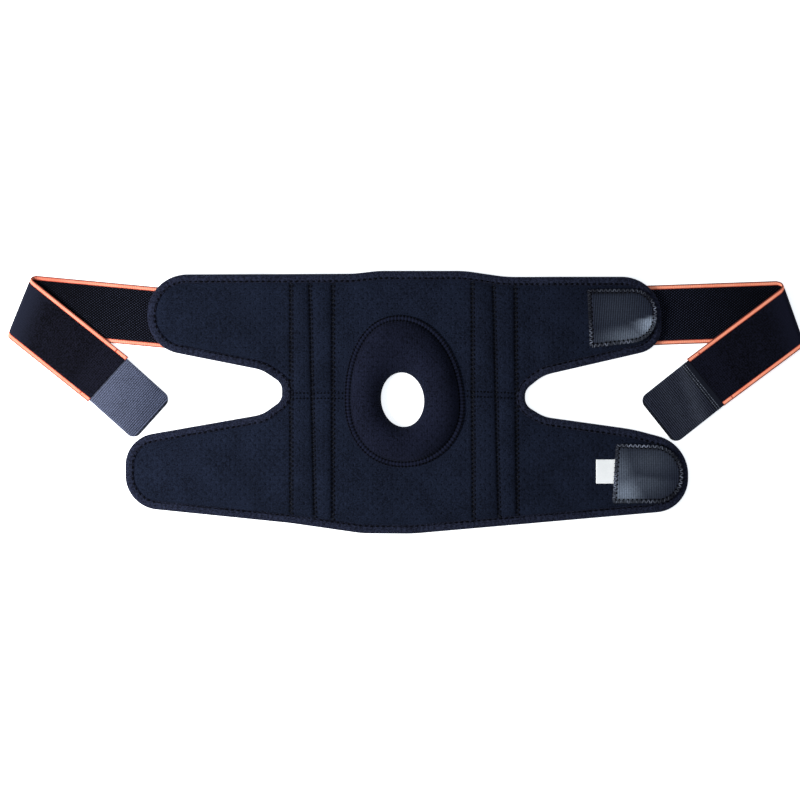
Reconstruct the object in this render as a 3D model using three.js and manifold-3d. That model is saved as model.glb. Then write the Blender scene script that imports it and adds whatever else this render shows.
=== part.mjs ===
// A wrap-around knee support, laid flat with its inner face up and both straps folded over once.
// Millimetres, +Z up. The origin lies under the middle of the whole part, on the surface it rests on.
// +X points to the wings with the hook patches, and +Y to the two wings that carry the straps.

import * as THREE from 'three';
import Module from 'manifold-3d';
import { mergeVertices } from 'three/addons/utils/BufferGeometryUtils.js';

// Driving dimensions

const GAP = 0.3; // clearance kept between neighbouring pieces

const PANEL_THICK = 4;
const BINDING_WIDTH = 6.5; // of the folded tape, on each face
const BINDING_LOW = 0.2; // the panel, not the binding, carries the weight
const BINDING_HIGH = 4.6;
const BINDING_WALL = 1;
const BINDING_ROLL = 1.6; // how far the rounded outer fold reaches in from the outline
const ROLL_SHARE = 1 / 3; // of the fold's reach and half height, at the corner between its nose and its face

const SEAM_WIDTH = 3.2; // of a double row of stitches between two stay channels
const CHANNEL_CROWN = 1.5;
const CHANNEL_TOP = 103;
const CHANNEL_BOTTOM = -98;
const CHANNEL_TAPER = 8;
const CHANNEL_END_RISE = 0.1; // share of the crown that is left at a channel's two ends
const CHANNEL_SINK = 0.6; // how far a channel's ridge is rooted in the panel

const RING_CROWN = 9;
const RING_RIM = 0.8; // cloth thickness at the kneecap hole
const RING_FLANGE = 5.4;
const RING_FLANGE_THICK = 1;
const RING_SIDES = 64;
const RING_STEPS = 9;
const DOME_FLATNESS = 2.6; // the dome's section is a superellipse with these two powers
const DOME_FULLNESS = 1.6;

const HOOK_BASE = PANEL_THICK + 1; // the patches lie over the inner edge of the binding
const HOOK_THICK = 1.4;

const LABEL = { left: 167.4, right: 187.5, top: -50.2, bottom: -71.4, thick: 0.4 };

const STRAP_WIDTH = 52.6;
const STRAP_THICK = 1.6;
const EDGING_WIDTH = 4;
const EDGING_THICK = 1.3;
const TAB_LENGTH = 53;
const TAB_CORNER = 7.5;
const OVERLAP_REACH = 90; // from the fold, as far as a strap's return still lies over its first run
const FLOOR_REACH = 122; // from the fold, where the return comes down to the surface

const ROOT_CLEARANCE = 0.4;
const WING_LIFT = STRAP_THICK + ROOT_CLEARANCE; // of the two upper wings, which lie on the strap roots
const RAMP_START = 112;
const RAMP_END = 128;
const HALF_SPLIT = 6.2; // cross seam between the lifted upper half and the flat lower half

const FAR = 400; // beyond every piece
const OVERLAP = 1; // of two halves that are joined

// The panel's outline: corners in turn, each with the radius of its round

const PANEL_CORNERS = [
  { at: 'upper right wing, top', x: 225, y: 110.4, radius: 35 },
  { at: 'top edge, right dip', x: 88, y: 110.3, radius: 120 },
  { at: 'top edge, crest right', x: 52, y: 115.6, radius: 100 },
  { at: 'top edge, crest left', x: -24, y: 115.6, radius: 80 },
  { at: 'top edge, left dip', x: -46, y: 113.1, radius: 80 },
  { at: 'upper left wing, top', x: -226.8, y: 112.2, radius: 34.5 },
  { at: 'upper left wing, bottom', x: -226.8, y: 48.3, radius: 33 },
  { at: 'left notch, upper lip', x: -126, y: 28.3, radius: 30 },
  { at: 'left notch, upper apex', x: -108.7, y: 16.5, radius: 11 },
  { at: 'left notch, lower apex', x: -108.7, y: 1.8, radius: 11 },
  { at: 'left notch, lower lip', x: -126, y: -10.7, radius: 30 },
  { at: 'lower left wing, top', x: -246.3, y: -31.8, radius: 28 },
  { at: 'lower left wing, bottom', x: -246.3, y: -91.6, radius: 30.5 },
  { at: 'bottom edge, left bend', x: -101.6, y: -106.2, radius: 150 },
  { at: 'bottom edge, belly left', x: -38, y: -115.3, radius: 90 },
  { at: 'bottom edge, belly right', x: 6, y: -115.6, radius: 120 },
  { at: 'lower right wing, bottom', x: 248.4, y: -94.4, radius: 27 },
  { at: 'lower right wing, top', x: 248.4, y: -36.8, radius: 25 },
  { at: 'lower right wing, shoulder', x: 200, y: -23.7, radius: 150 },
  { at: 'right notch, lower lip', x: 122, y: -12.8, radius: 30 },
  { at: 'right notch, lower apex', x: 105.2, y: -2.5, radius: 11 },
  { at: 'right notch, upper apex', x: 105.2, y: 10.8, radius: 11 },
  { at: 'right notch, upper lip', x: 121, y: 23.6, radius: 30 },
  { at: 'upper right wing, bottom', x: 225, y: 47.6, radius: 24 },
];

// The two hook patches, each with a straight inner edge and a round outer end

const UPPER_PATCH_CORNERS = [
  { x: 218.8, y: 99, radius: 25 },
  { x: 160.8, y: 98.6, radius: 2 },
  { x: 161, y: 48.1, radius: 2 },
  { x: 218.8, y: 56, radius: 20 },
];
const LOWER_PATCH_CORNERS = [
  { x: 241.6, y: -37.3, radius: 23 },
  { x: 185.8, y: -37.4, radius: 3 },
  { x: 182.6, y: -88.1, radius: 2 },
  { x: 241.6, y: -86.7, radius: 26 },
];

// Seams that run from the top edge to the bottom edge: x at either end

const SEAMS = [
  { at: 'left outer', top: -100.3, bottom: -100.3 },
  { at: 'left middle', top: -83.9, bottom: -79.5 },
  { at: 'left inner', top: -64.2, bottom: -64.2 },
  { at: 'right inner', top: 59, bottom: 60 },
  { at: 'right middle', top: 77.5, bottom: 82.3 },
  { at: 'right outer', top: 96.4, bottom: 98.5 },
];
const CHANNELS = [
  { from: SEAMS[0], to: SEAMS[1] },
  { from: SEAMS[1], to: SEAMS[2] },
  { from: SEAMS[3], to: SEAMS[4] },
  { from: SEAMS[4], to: SEAMS[5] },
];

// The kneecap hole is an ellipse. The ring's dome is an egg, longer upwards, whose ends lean to -X.

const HOLE = { x: -2.6, y: 2.3, halfWidth: 18.9, halfHeight: 24.7 };
const DOME = { x: -0.7, y: -1.5, halfWidth: 47.5, up: 72.8, down: 50.4, lean: 2.4 };

// The straps: where each is sewn on, its two headings, and its lengths before and after the fold.
// A strap slips a little along its fold as it turns, and its tab is sewn on a little askew.

const STRAPS = [
  {
    name: 'strap_left',
    root: new THREE.Vector2(-131, 66.5),
    heading: 174.6,
    returnHeading: 321.2,
    firstRun: 205.5,
    returnRun: 97.6,
    foldRadius: 2.4,
    slip: 2.7,
    tabWidth: 48,
    tabSkew: 2.4,
    upperSide: -1,
  },
  {
    name: 'strap_right',
    root: new THREE.Vector2(131, 73.5),
    heading: 2,
    returnHeading: 216.9,
    firstRun: 204.6,
    returnRun: 93,
    foldRadius: 3.6,
    slip: -4.2,
    tabWidth: 50.6,
    tabSkew: -1.6,
    upperSide: 1,
  },
];
const FOLD_STEPS = 10;
const RETURN_STEPS = 12;
const SQUARE_FROM = 0.35; // share of the return where its sections begin to turn from the fold to the tab
const TAB_STEPS = 6;
const CORNER_STEPS = 5;

const ARC_STEP = THREE.MathUtils.degToRad(13);
const RIDGE_STEPS = 7;

// Finishes

const finish = (color, roughness) => new THREE.MeshStandardMaterial({ color, roughness, metalness: 0 });
const PANEL_CLOTH = finish(0x1c2231, 0.9);
const BINDING_CLOTH = finish(0x232536, 0.85);
const RING_CLOTH = finish(0x1b2033, 0.85);
const HOOK_TAPE = finish(0x353a46, 0.55);
const LABEL_CLOTH = finish(0xf4f7f7, 0.7);
const WEBBING = finish(0x10121d, 0.8);
const EDGING = finish(0xf58a62, 0.75);
const TAB_TAPE = finish(0x40465a, 0.5);

// Joining and cutting

const wasm = await Module();
wasm.setup();

function toSolid(geometry) {
  const bare = geometry.clone();
  bare.deleteAttribute('normal');
  bare.deleteAttribute('uv');
  const merged = mergeVertices(bare);
  return new wasm.Manifold(
    new wasm.Mesh({
      numProp: 3,
      vertProperties: new Float32Array(merged.attributes.position.array),
      triVerts: new Uint32Array(merged.index.array),
    }),
  );
}

function toGeometry(solid) {
  const mesh = solid.getMesh();
  const geometry = new THREE.BufferGeometry();
  geometry.setAttribute('position', new THREE.BufferAttribute(mesh.vertProperties, 3));
  geometry.setIndex(new THREE.BufferAttribute(mesh.triVerts, 1));
  geometry.computeVertexNormals();
  return geometry;
}

// A closed body through a row of sections, each a ring of points that turns round the way it travels.
// A loop joins its last section to its first, and any other body gets flat ends.
function loft(sections, isLoop = false) {
  const count = sections[0].length;
  const faces = [];
  const spans = isLoop ? sections.length : sections.length - 1;
  for (let span = 0; span < spans; span += 1) {
    const near = span * count;
    const far = ((span + 1) % sections.length) * count;
    for (let side = 0; side < count; side += 1) {
      const next = (side + 1) % count;
      faces.push(near + side, near + next, far + next);
      faces.push(near + side, far + next, far + side);
    }
  }
  if (!isLoop) {
    const last = (sections.length - 1) * count;
    for (let side = 1; side < count - 1; side += 1) {
      faces.push(0, side + 1, side);
      faces.push(last, last + side, last + side + 1);
    }
  }
  const geometry = new THREE.BufferGeometry();
  geometry.setFromPoints(sections.flat());
  geometry.setIndex(faces);
  geometry.computeVertexNormals();
  return geometry;
}

// Outlines

// Stations round a polygon with rounded corners, counterclockwise, each with its outward normal.
function roundedStations(corners) {
  const stations = [];
  corners.forEach((corner, index) => {
    const here = new THREE.Vector2(corner.x, corner.y);
    const before = corners[(index + corners.length - 1) % corners.length];
    const after = corners[(index + 1) % corners.length];
    const arriving = here.clone().sub(new THREE.Vector2(before.x, before.y)).normalize();
    const leaving = new THREE.Vector2(after.x, after.y).sub(here).normalize();
    const turn = Math.atan2(arriving.cross(leaving), arriving.dot(leaving));
    const start = here.clone().addScaledVector(arriving, -corner.radius * Math.tan(Math.abs(turn) / 2));
    const inward = new THREE.Vector2(-arriving.y, arriving.x).multiplyScalar(Math.sign(turn));
    const centre = start.clone().addScaledVector(inward, corner.radius);
    const steps = Math.max(1, Math.ceil(Math.abs(turn) / ARC_STEP));
    for (let step = 0; step <= steps; step += 1) {
      const heading = arriving.angle() + (turn * step) / steps;
      const normal = new THREE.Vector2(Math.sin(heading), -Math.cos(heading));
      const point = centre.clone().addScaledVector(normal, corner.radius * Math.sign(turn));
      stations.push({ point, normal });
    }
  });
  return stations;
}

// The same stations, with one more wherever the outline crosses a bend of the lifted wings.
function splitAtRamp(stations) {
  const split = [];
  const bends = [-RAMP_END, -RAMP_START, RAMP_START, RAMP_END];
  stations.forEach((station, index) => {
    split.push(station);
    const next = stations[(index + 1) % stations.length];
    const run = next.point.x - station.point.x;
    const shares = bends.map((bend) => (bend - station.point.x) / run);
    const crossed = shares.filter((share) => share > 0 && share < 1).sort((a, b) => a - b);
    crossed.forEach((share) => {
      const point = station.point.clone().lerp(next.point, share);
      const normal = station.normal.clone().lerp(next.normal, share).normalize();
      split.push({ point, normal });
    });
  });
  return split;
}

const inset = (stations, distance) =>
  stations.map(({ point, normal }) => point.clone().addScaledVector(normal, -distance));

function prism(points, low, high) {
  const shape = new THREE.Shape(points);
  const geometry = new THREE.ExtrudeGeometry(shape, { depth: high - low, bevelEnabled: false });
  geometry.translate(0, 0, low);
  return geometry;
}

// The lifted upper half

const LIFTS = [
  { x: -FAR, lift: WING_LIFT },
  { x: -RAMP_END, lift: WING_LIFT },
  { x: -RAMP_START, lift: 0 },
  { x: RAMP_START, lift: 0 },
  { x: RAMP_END, lift: WING_LIFT },
  { x: FAR, lift: WING_LIFT },
];
const NO_LIFT = [
  { x: -FAR, lift: 0 },
  { x: FAR, lift: 0 },
];

function liftAt(x, y) {
  const share = (Math.abs(x) - RAMP_START) / (RAMP_END - RAMP_START);
  return y > HALF_SPLIT ? WING_LIFT * THREE.MathUtils.clamp(share, 0, 1) : 0;
}

// A layer of even thickness that follows the lifts along X.
function layer(low, high, yFrom, yTo, lifts) {
  const under = lifts.map(({ x, lift }) => new THREE.Vector2(x, low + lift));
  const over = lifts.map(({ x, lift }) => new THREE.Vector2(x, high + lift)).reverse();
  const shape = new THREE.Shape([...under, ...over]);
  const geometry = new THREE.ExtrudeGeometry(shape, { depth: yTo - yFrom, bevelEnabled: false });
  geometry.rotateX(Math.PI / 2);
  geometry.translate(0, yTo, 0);
  return toSolid(geometry);
}

// A flat shape whose upper half follows the lifts.
function liftedPlate(points, low, high) {
  const column = toSolid(prism(points, -FAR, FAR));
  const upper = column.intersect(layer(low, high, HALF_SPLIT - OVERLAP, FAR, LIFTS));
  const lower = column.intersect(layer(low, high, -FAR, HALF_SPLIT + OVERLAP, NO_LIFT));
  return upper.add(lower);
}

// Wrap panel: foam and cloth, pinched thin inside the binding, with a ridge over each stay channel

function channelRidge({ from, to }) {
  const rows = [
    { y: CHANNEL_BOTTOM, rise: CHANNEL_END_RISE },
    { y: CHANNEL_BOTTOM + CHANNEL_TAPER, rise: 1 },
    { y: CHANNEL_TOP - CHANNEL_TAPER, rise: 1 },
    { y: CHANNEL_TOP, rise: CHANNEL_END_RISE },
  ];
  const sections = rows.map(({ y, rise }) => {
    const height = (y - CHANNEL_BOTTOM) / (CHANNEL_TOP - CHANNEL_BOTTOM);
    const left = THREE.MathUtils.lerp(from.bottom, from.top, height) + SEAM_WIDTH / 2;
    const right = THREE.MathUtils.lerp(to.bottom, to.top, height) - SEAM_WIDTH / 2;
    const points = [new THREE.Vector3(left, y, PANEL_THICK - CHANNEL_SINK)];
    for (let step = 0; step <= RIDGE_STEPS; step += 1) {
      const across = step / RIDGE_STEPS;
      const z = PANEL_THICK + CHANNEL_CROWN * rise * Math.sin(Math.PI * across);
      points.push(new THREE.Vector3(THREE.MathUtils.lerp(left, right, across), y, z));
    }
    points.push(new THREE.Vector3(right, y, PANEL_THICK - CHANNEL_SINK));
    return points;
  });
  return toSolid(loft(sections));
}

const ringAngles = () => Array.from({ length: RING_SIDES }, (_, side) => (side / RING_SIDES) * 2 * Math.PI);

const holeAt = (angle) =>
  new THREE.Vector2(HOLE.x + HOLE.halfWidth * Math.cos(angle), HOLE.y + HOLE.halfHeight * Math.sin(angle));

// The upper and the lower half, which are sewn together at the cross seam from each notch to the hole.
function panelHalves(stations) {
  const pinch = BINDING_WALL + GAP;
  const body = liftedPlate(inset(stations, BINDING_WIDTH + GAP), 0, PANEL_THICK);
  const pinchedEdge = liftedPlate(inset(stations, pinch + GAP), BINDING_LOW + pinch, BINDING_HIGH - pinch);
  const holePoints = ringAngles().map(holeAt);
  const hole = toSolid(prism(holePoints, -FAR, FAR));
  const ridges = CHANNELS.map(channelRidge);
  const ridged = ridges.reduce((panel, ridge) => panel.add(ridge), body.add(pinchedEdge));
  const panel = ridged.subtract(hole);
  const upper = panel.trimByPlane([0, 1, 0], HALF_SPLIT + GAP / 2);
  const lower = panel.trimByPlane([0, -1, 0], GAP / 2 - HALF_SPLIT);
  return [
    piece('wrap_panel_upper', toGeometry(upper), PANEL_CLOTH),
    piece('wrap_panel_lower', toGeometry(lower), PANEL_CLOTH),
  ];
}

// Edge binding: a folded tape with a round outer fold, open inwards to take the panel's edge

function edgeBinding(stations) {
  const high = BINDING_HIGH;
  const low = BINDING_LOW;
  const rollRise = (ROLL_SHARE * (high - low)) / 2;
  const rollReach = ROLL_SHARE * BINDING_ROLL;
  const slotBack = BINDING_WALL + GAP;
  const section = [
    { reach: BINDING_WIDTH, z: high },
    { reach: BINDING_ROLL, z: high },
    { reach: rollReach, z: high - rollRise },
    { reach: 0, z: (high + low) / 2 },
    { reach: rollReach, z: low + rollRise },
    { reach: BINDING_ROLL, z: low },
    { reach: BINDING_WIDTH, z: low },
    { reach: BINDING_WIDTH, z: low + BINDING_WALL },
    { reach: slotBack, z: low + BINDING_WALL },
    { reach: slotBack, z: high - BINDING_WALL },
    { reach: BINDING_WIDTH, z: high - BINDING_WALL },
  ];
  const sections = stations.map(({ point, normal }) =>
    section.map(({ reach, z }) => {
      const place = point.clone().addScaledVector(normal, -reach);
      return new THREE.Vector3(place.x, place.y, z + liftAt(place.x, place.y));
    }),
  );
  return loft(sections, true);
}

// Kneecap ring: a domed pad between the hole and its sewn flange

function eggAt(angle, grow) {
  const rise = Math.sin(angle);
  const reach = (rise > 0 ? DOME.up : DOME.down) + grow;
  const x = DOME.x + (DOME.halfWidth + grow) * Math.cos(angle) - DOME.lean * rise * rise;
  return new THREE.Vector2(x, DOME.y + reach * rise);
}

function domeRise(reach) {
  return (1 - Math.abs(2 * reach - 1) ** DOME_FLATNESS) ** (1 / DOME_FULLNESS);
}

function kneecapRing() {
  const base = PANEL_THICK + GAP;
  const sections = ringAngles().map((angle) => {
    const hole = holeAt(angle);
    const domeEdge = eggAt(angle, 0);
    const flangeEdge = eggAt(angle, RING_FLANGE);
    const section = [new THREE.Vector3(hole.x, hole.y, base)];
    for (let step = 0; step <= RING_STEPS; step += 1) {
      const reach = (1 - Math.cos((Math.PI * step) / RING_STEPS)) / 2;
      const place = hole.clone().lerp(domeEdge, reach);
      const cloth = THREE.MathUtils.lerp(RING_RIM, RING_FLANGE_THICK, reach);
      const z = base + cloth + (RING_CROWN - cloth) * domeRise(reach);
      section.push(new THREE.Vector3(place.x, place.y, z));
    }
    section.push(new THREE.Vector3(flangeEdge.x, flangeEdge.y, base + RING_FLANGE_THICK));
    section.push(new THREE.Vector3(flangeEdge.x, flangeEdge.y, base));
    return section;
  });
  return loft(sections, true);
}

// Hook patches and label

function hookPatch(corners) {
  const stations = roundedStations(corners);
  const base = HOOK_BASE + liftAt(corners[0].x, corners[0].y);
  return prism(inset(stations, 0), base, base + HOOK_THICK);
}

function sideLabel() {
  const geometry = new THREE.BoxGeometry(LABEL.right - LABEL.left, LABEL.top - LABEL.bottom, LABEL.thick);
  const z = PANEL_THICK + GAP + LABEL.thick / 2;
  geometry.translate((LABEL.left + LABEL.right) / 2, (LABEL.top + LABEL.bottom) / 2, z);
  return geometry;
}

// Straps: an elastic band that runs out flat, turns back round a slanting fold and comes down again

// Height of a strap's middle above its first run, at a distance past the fold.
function returnHeight(strap, distance) {
  const { smoothstep, lerp } = THREE.MathUtils;
  const resting = STRAP_THICK + GAP;
  const settled = lerp(2 * strap.foldRadius, resting, smoothstep(distance, 0, OVERLAP_REACH));
  return settled - resting * smoothstep(distance, OVERLAP_REACH, FLOOR_REACH);
}

// The fold's place and the strap's directions: along and across the band, and out of and along the fold.
function strapFrame(strap) {
  const { degToRad } = THREE.MathUtils;
  const direction = (degrees) => new THREE.Vector2(Math.cos(degToRad(degrees)), Math.sin(degToRad(degrees)));
  const along = direction(strap.heading);
  const across = new THREE.Vector2(-along.y, along.x);
  const foldLine = direction((strap.heading + strap.returnHeading) / 2);
  const outOfFold = new THREE.Vector2(-foldLine.y, foldLine.x);
  outOfFold.multiplyScalar(Math.sign(outOfFold.dot(along)));
  const fold = strap.root.clone().addScaledVector(along, strap.firstRun);
  const foldTurn = (Math.PI * strap.foldRadius) / along.dot(outOfFold);
  return { along, across, foldLine, outOfFold, fold, returnStart: strap.firstRun + foldTurn };
}

// Where a point of the flat band comes to lie: its length, its place across and its height in the band.
function strapPoint(strap, frame, length, across, height) {
  const flat = strap.root.clone();
  flat.addScaledVector(frame.along, length).addScaledVector(frame.across, across).sub(frame.fold);
  const travel = flat.dot(frame.outOfFold);
  const radius = strap.foldRadius;
  const bend = THREE.MathUtils.clamp(travel / radius, 0, Math.PI);
  let out = Math.min(travel, 0) + radius * Math.sin(bend);
  let rise = radius * (1 - Math.cos(bend));
  if (bend === Math.PI) {
    const distance = travel - Math.PI * radius;
    out = -distance;
    rise = returnHeight(strap, distance);
  }
  const alongFold = flat.dot(frame.foldLine) + strap.slip * (bend / Math.PI);
  const place = frame.fold.clone().addScaledVector(frame.foldLine, alongFold);
  place.addScaledVector(frame.outOfFold, out - Math.sin(bend) * height);
  return new THREE.Vector3(place.x, place.y, STRAP_THICK / 2 + rise + Math.cos(bend) * height);
}

// A band through rows, each with the flat places of its two edges: length along and place across the strap.
function band(strap, frame, rows, thick) {
  const half = thick / 2;
  const sections = rows.map(({ left, right }) => [
    strapPoint(strap, frame, left.length, left.across, -half),
    strapPoint(strap, frame, left.length, left.across, half),
    strapPoint(strap, frame, right.length, right.across, half),
    strapPoint(strap, frame, right.length, right.across, -half),
  ]);
  return loft(sections);
}

// Rows from the sewn end to the tab, between two places across. They start square to the strap, lie along
// the fold where it turns and end along the tab's edge.
function bandRows(strap, frame, rightAcross, leftAcross) {
  const alongFold = -frame.across.dot(frame.outOfFold) / frame.along.dot(frame.outOfFold);
  const alongTab = -Math.tan(THREE.MathUtils.degToRad(strap.tabSkew));
  const row = (length, slant) => ({
    left: { length: length + slant * leftAcross, across: leftAcross },
    right: { length: length + slant * rightAcross, across: rightAcross },
  });
  const rows = [row(0, 0)];
  for (let step = 0; step <= FOLD_STEPS; step += 1) {
    rows.push(row(THREE.MathUtils.lerp(strap.firstRun, frame.returnStart, step / FOLD_STEPS), alongFold));
  }
  for (let step = 1; step <= RETURN_STEPS; step += 1) {
    const share = step / RETURN_STEPS;
    const turned = THREE.MathUtils.clamp((share - SQUARE_FROM) / (1 - SQUARE_FROM), 0, 1);
    const slant = THREE.MathUtils.lerp(alongFold, alongTab, turned);
    rows.push(row(frame.returnStart + strap.returnRun * share, slant));
  }
  return rows;
}

// Rows of the tab, which has square corners at the strap and round ones at its free end.
function tabRows(strap, frame) {
  const skew = THREE.MathUtils.degToRad(strap.tabSkew);
  const start = frame.returnStart + strap.returnRun + GAP / Math.cos(skew);
  const flatPlace = (reach, across) => ({
    length: start + reach * Math.cos(skew) - across * Math.sin(skew),
    across: reach * Math.sin(skew) + across * Math.cos(skew),
  });
  const row = (reach, half) => ({ left: flatPlace(reach, half), right: flatPlace(reach, -half) });
  const rows = [];
  const straight = TAB_LENGTH - TAB_CORNER;
  for (let step = 0; step < TAB_STEPS; step += 1) {
    rows.push(row((straight * step) / TAB_STEPS, strap.tabWidth / 2));
  }
  for (let step = 0; step <= CORNER_STEPS; step += 1) {
    const turn = ((Math.PI / 2) * step) / CORNER_STEPS;
    const half = strap.tabWidth / 2 - TAB_CORNER * (1 - Math.cos(turn));
    rows.push(row(straight + TAB_CORNER * Math.sin(turn), half));
  }
  return rows;
}

// The assembly

function piece(name, geometry, material) {
  const mesh = new THREE.Mesh(geometry, material);
  mesh.name = name;
  return mesh;
}

function strapGroup(strap) {
  const frame = strapFrame(strap);
  const edge = STRAP_WIDTH / 2;
  const webbingEdge = edge - EDGING_WIDTH - GAP;
  const webbing = band(strap, frame, bandRows(strap, frame, -webbingEdge, webbingEdge), STRAP_THICK);
  const tab = band(strap, frame, tabRows(strap, frame), STRAP_THICK);
  const group = new THREE.Group();
  group.add(piece(strap.name, webbing, WEBBING));
  [
    { side: 'upper', sign: strap.upperSide },
    { side: 'lower', sign: -strap.upperSide },
  ].forEach(({ side, sign }) => {
    const inner = sign * (edge - EDGING_WIDTH);
    const outer = sign * edge;
    const rows = bandRows(strap, frame, Math.min(inner, outer), Math.max(inner, outer));
    group.add(piece(`${strap.name}_edging_${side}`, band(strap, frame, rows, EDGING_THICK), EDGING));
  });
  group.add(piece(`${strap.name}_tab`, tab, TAB_TAPE));
  return group;
}

const outline = splitAtRamp(roundedStations(PANEL_CORNERS));

const kneeSupport = new THREE.Group();
kneeSupport.name = 'knee_support_wrap';
kneeSupport.add(
  ...panelHalves(outline),
  piece('edge_binding', edgeBinding(outline), BINDING_CLOTH),
  piece('kneecap_ring', kneecapRing(), RING_CLOTH),
  piece('hook_patch_upper', hookPatch(UPPER_PATCH_CORNERS), HOOK_TAPE),
  piece('hook_patch_lower', hookPatch(LOWER_PATCH_CORNERS), HOOK_TAPE),
  piece('side_label', sideLabel(), LABEL_CLOTH),
  ...STRAPS.map(strapGroup),
);

export default kneeSupport;
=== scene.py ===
"""Looks of a wrap-around knee support that lies open on a white floor with its inner face up.

Sizes are in millimetres and become metres where a mesh is made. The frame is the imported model's: +Z up,
+X towards the wings with the hook patches and +Y towards the wings that carry the straps.
"""

import logging
import math
from collections.abc import Sequence
from dataclasses import dataclass, field
from enum import Enum
from typing import Any

import bmesh
import bpy
import numpy as np
from bpy.types import Material, Mesh, Object
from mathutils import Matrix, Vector, kdtree
from mathutils.geometry import delaunay_2d_cdt


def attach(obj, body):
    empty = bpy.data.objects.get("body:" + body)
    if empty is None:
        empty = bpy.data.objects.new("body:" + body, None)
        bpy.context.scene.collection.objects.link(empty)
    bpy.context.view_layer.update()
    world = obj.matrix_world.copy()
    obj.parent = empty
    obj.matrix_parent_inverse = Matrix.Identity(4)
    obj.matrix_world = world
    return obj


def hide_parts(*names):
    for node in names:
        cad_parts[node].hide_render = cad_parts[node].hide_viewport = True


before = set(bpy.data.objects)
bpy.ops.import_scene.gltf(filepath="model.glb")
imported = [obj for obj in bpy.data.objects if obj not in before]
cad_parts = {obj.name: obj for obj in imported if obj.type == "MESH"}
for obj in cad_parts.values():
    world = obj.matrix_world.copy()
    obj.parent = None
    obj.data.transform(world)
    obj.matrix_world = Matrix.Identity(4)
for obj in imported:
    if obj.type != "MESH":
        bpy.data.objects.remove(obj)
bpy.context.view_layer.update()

LOG = logging.getLogger("knee_support")
MM = 0.001
Array = np.ndarray
Colour = tuple[float, float, float]
Value = Any


def srgb(red: int, green: int, blue: int) -> Colour:
    """A colour given in the usual 0 to 255 scale, as linear light."""
    levels = (level / 255 for level in (red, green, blue))
    return tuple(((c + 0.055) / 1.055) ** 2.4 if c > 0.04 else c / 12.92 for c in levels)


def smooth(value: Array, start: float, end: float) -> Array:
    """A soft step from 0 at start to 1 at end."""
    share = np.clip((np.asarray(value, float) - start) / (end - start), 0, 1)
    return share * share * (3 - 2 * share)


def bump(value: Array, width: float) -> Array:
    """A bell of height 1 about 0."""
    return np.exp(-((np.asarray(value, float) / width) ** 2))


def ripple(value: Array, pitch: float) -> Array:
    """A cosine of this length, from 0 to 1, that starts at 1."""
    return 0.5 + 0.5 * np.cos(math.tau * value / pitch)


def crowded(count: int) -> Array:
    """Places from 1 to -1 that lie closer together at both ends."""
    return np.sin(np.linspace(1, -1, count) * math.pi / 2)


def unit(angle: float) -> Array:
    """The plane direction at this angle."""
    return np.array([math.cos(angle), math.sin(angle)])


def joined(loop: Array) -> Array:
    """A loop's points with the first once more at the end."""
    return np.concatenate([loop, loop[:1]])


def lengths_along(path: Array) -> Array:
    """How far along a path each of its points lies."""
    return np.concatenate([[0], np.cumsum(np.linalg.norm(np.diff(path, axis=0), axis=1))])


def resampled(path: Array, lengths: Array, wanted: Array) -> Array:
    """Points of a path at the wanted lengths."""
    return np.stack([np.interp(wanted, lengths, side) for side in path.T], axis=1)


def lattice(x: Array, y: Array) -> Array:
    """Plane points at every pair of these places."""
    return np.stack(np.meshgrid(x, y), axis=-1).reshape(-1, 2)


def raised(plane: Array, height: Array | float) -> Array:
    """Plane points at these heights."""
    return np.column_stack([plane, np.broadcast_to(height, len(plane))])


def distances(points: Array, others: Array) -> Array:
    """From each plane point to the nearest of the others.

    Args:
        points: Plane points.
        others: The points that they are measured to.

    Returns:
        A distance for each point.
    """
    tree = kdtree.KDTree(len(others))
    for k, (x, y) in enumerate(others):
        tree.insert((x, y, 0), k)
    tree.balance()
    return np.array([tree.find((x, y, 0))[2] for x, y in points])


# Node trees

class Wire:
    """One output socket of a tree. Sums and products of wires add Math nodes."""

    def __init__(self, graph: "Graph", socket: bpy.types.NodeSocket) -> None:
        """Keeps the socket and the graph it belongs to."""
        self.graph = graph
        self.socket = socket

    def math(self, operation: str, *values: Value) -> "Wire":
        """One Math node on these values."""
        return self.graph.add("ShaderNodeMath", dict(enumerate(values)), operation=operation)

    def __add__(self, other: Value) -> "Wire":
        """The sum."""
        return self.math("ADD", self, other)

    def __sub__(self, other: Value) -> "Wire":
        """The difference."""
        return self.math("SUBTRACT", self, other)

    def __rsub__(self, other: Value) -> "Wire":
        """The difference, with this wire second."""
        return self.math("SUBTRACT", other, self)

    def __mul__(self, other: Value) -> "Wire":
        """The product."""
        return self.math("MULTIPLY", self, other)

    __radd__ = __add__
    __rmul__ = __mul__

    def __abs__(self) -> "Wire":
        """The value without its sign."""
        return self.math("ABSOLUTE", self)

    def wave(self, pitch: float) -> "Wire":
        """A sine of this length, from 0 to 1."""
        return self.math("SINE", self * (math.tau / pitch)) * 0.5 + 0.5

    def step(self, start: Value, end: Value) -> "Wire":
        """A soft step from 0 at start to 1 at end."""
        sockets = {"Value": self, "From Min": start, "From Max": end}
        return self.graph.add("ShaderNodeMapRange", sockets, interpolation_type="SMOOTHSTEP")


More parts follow.
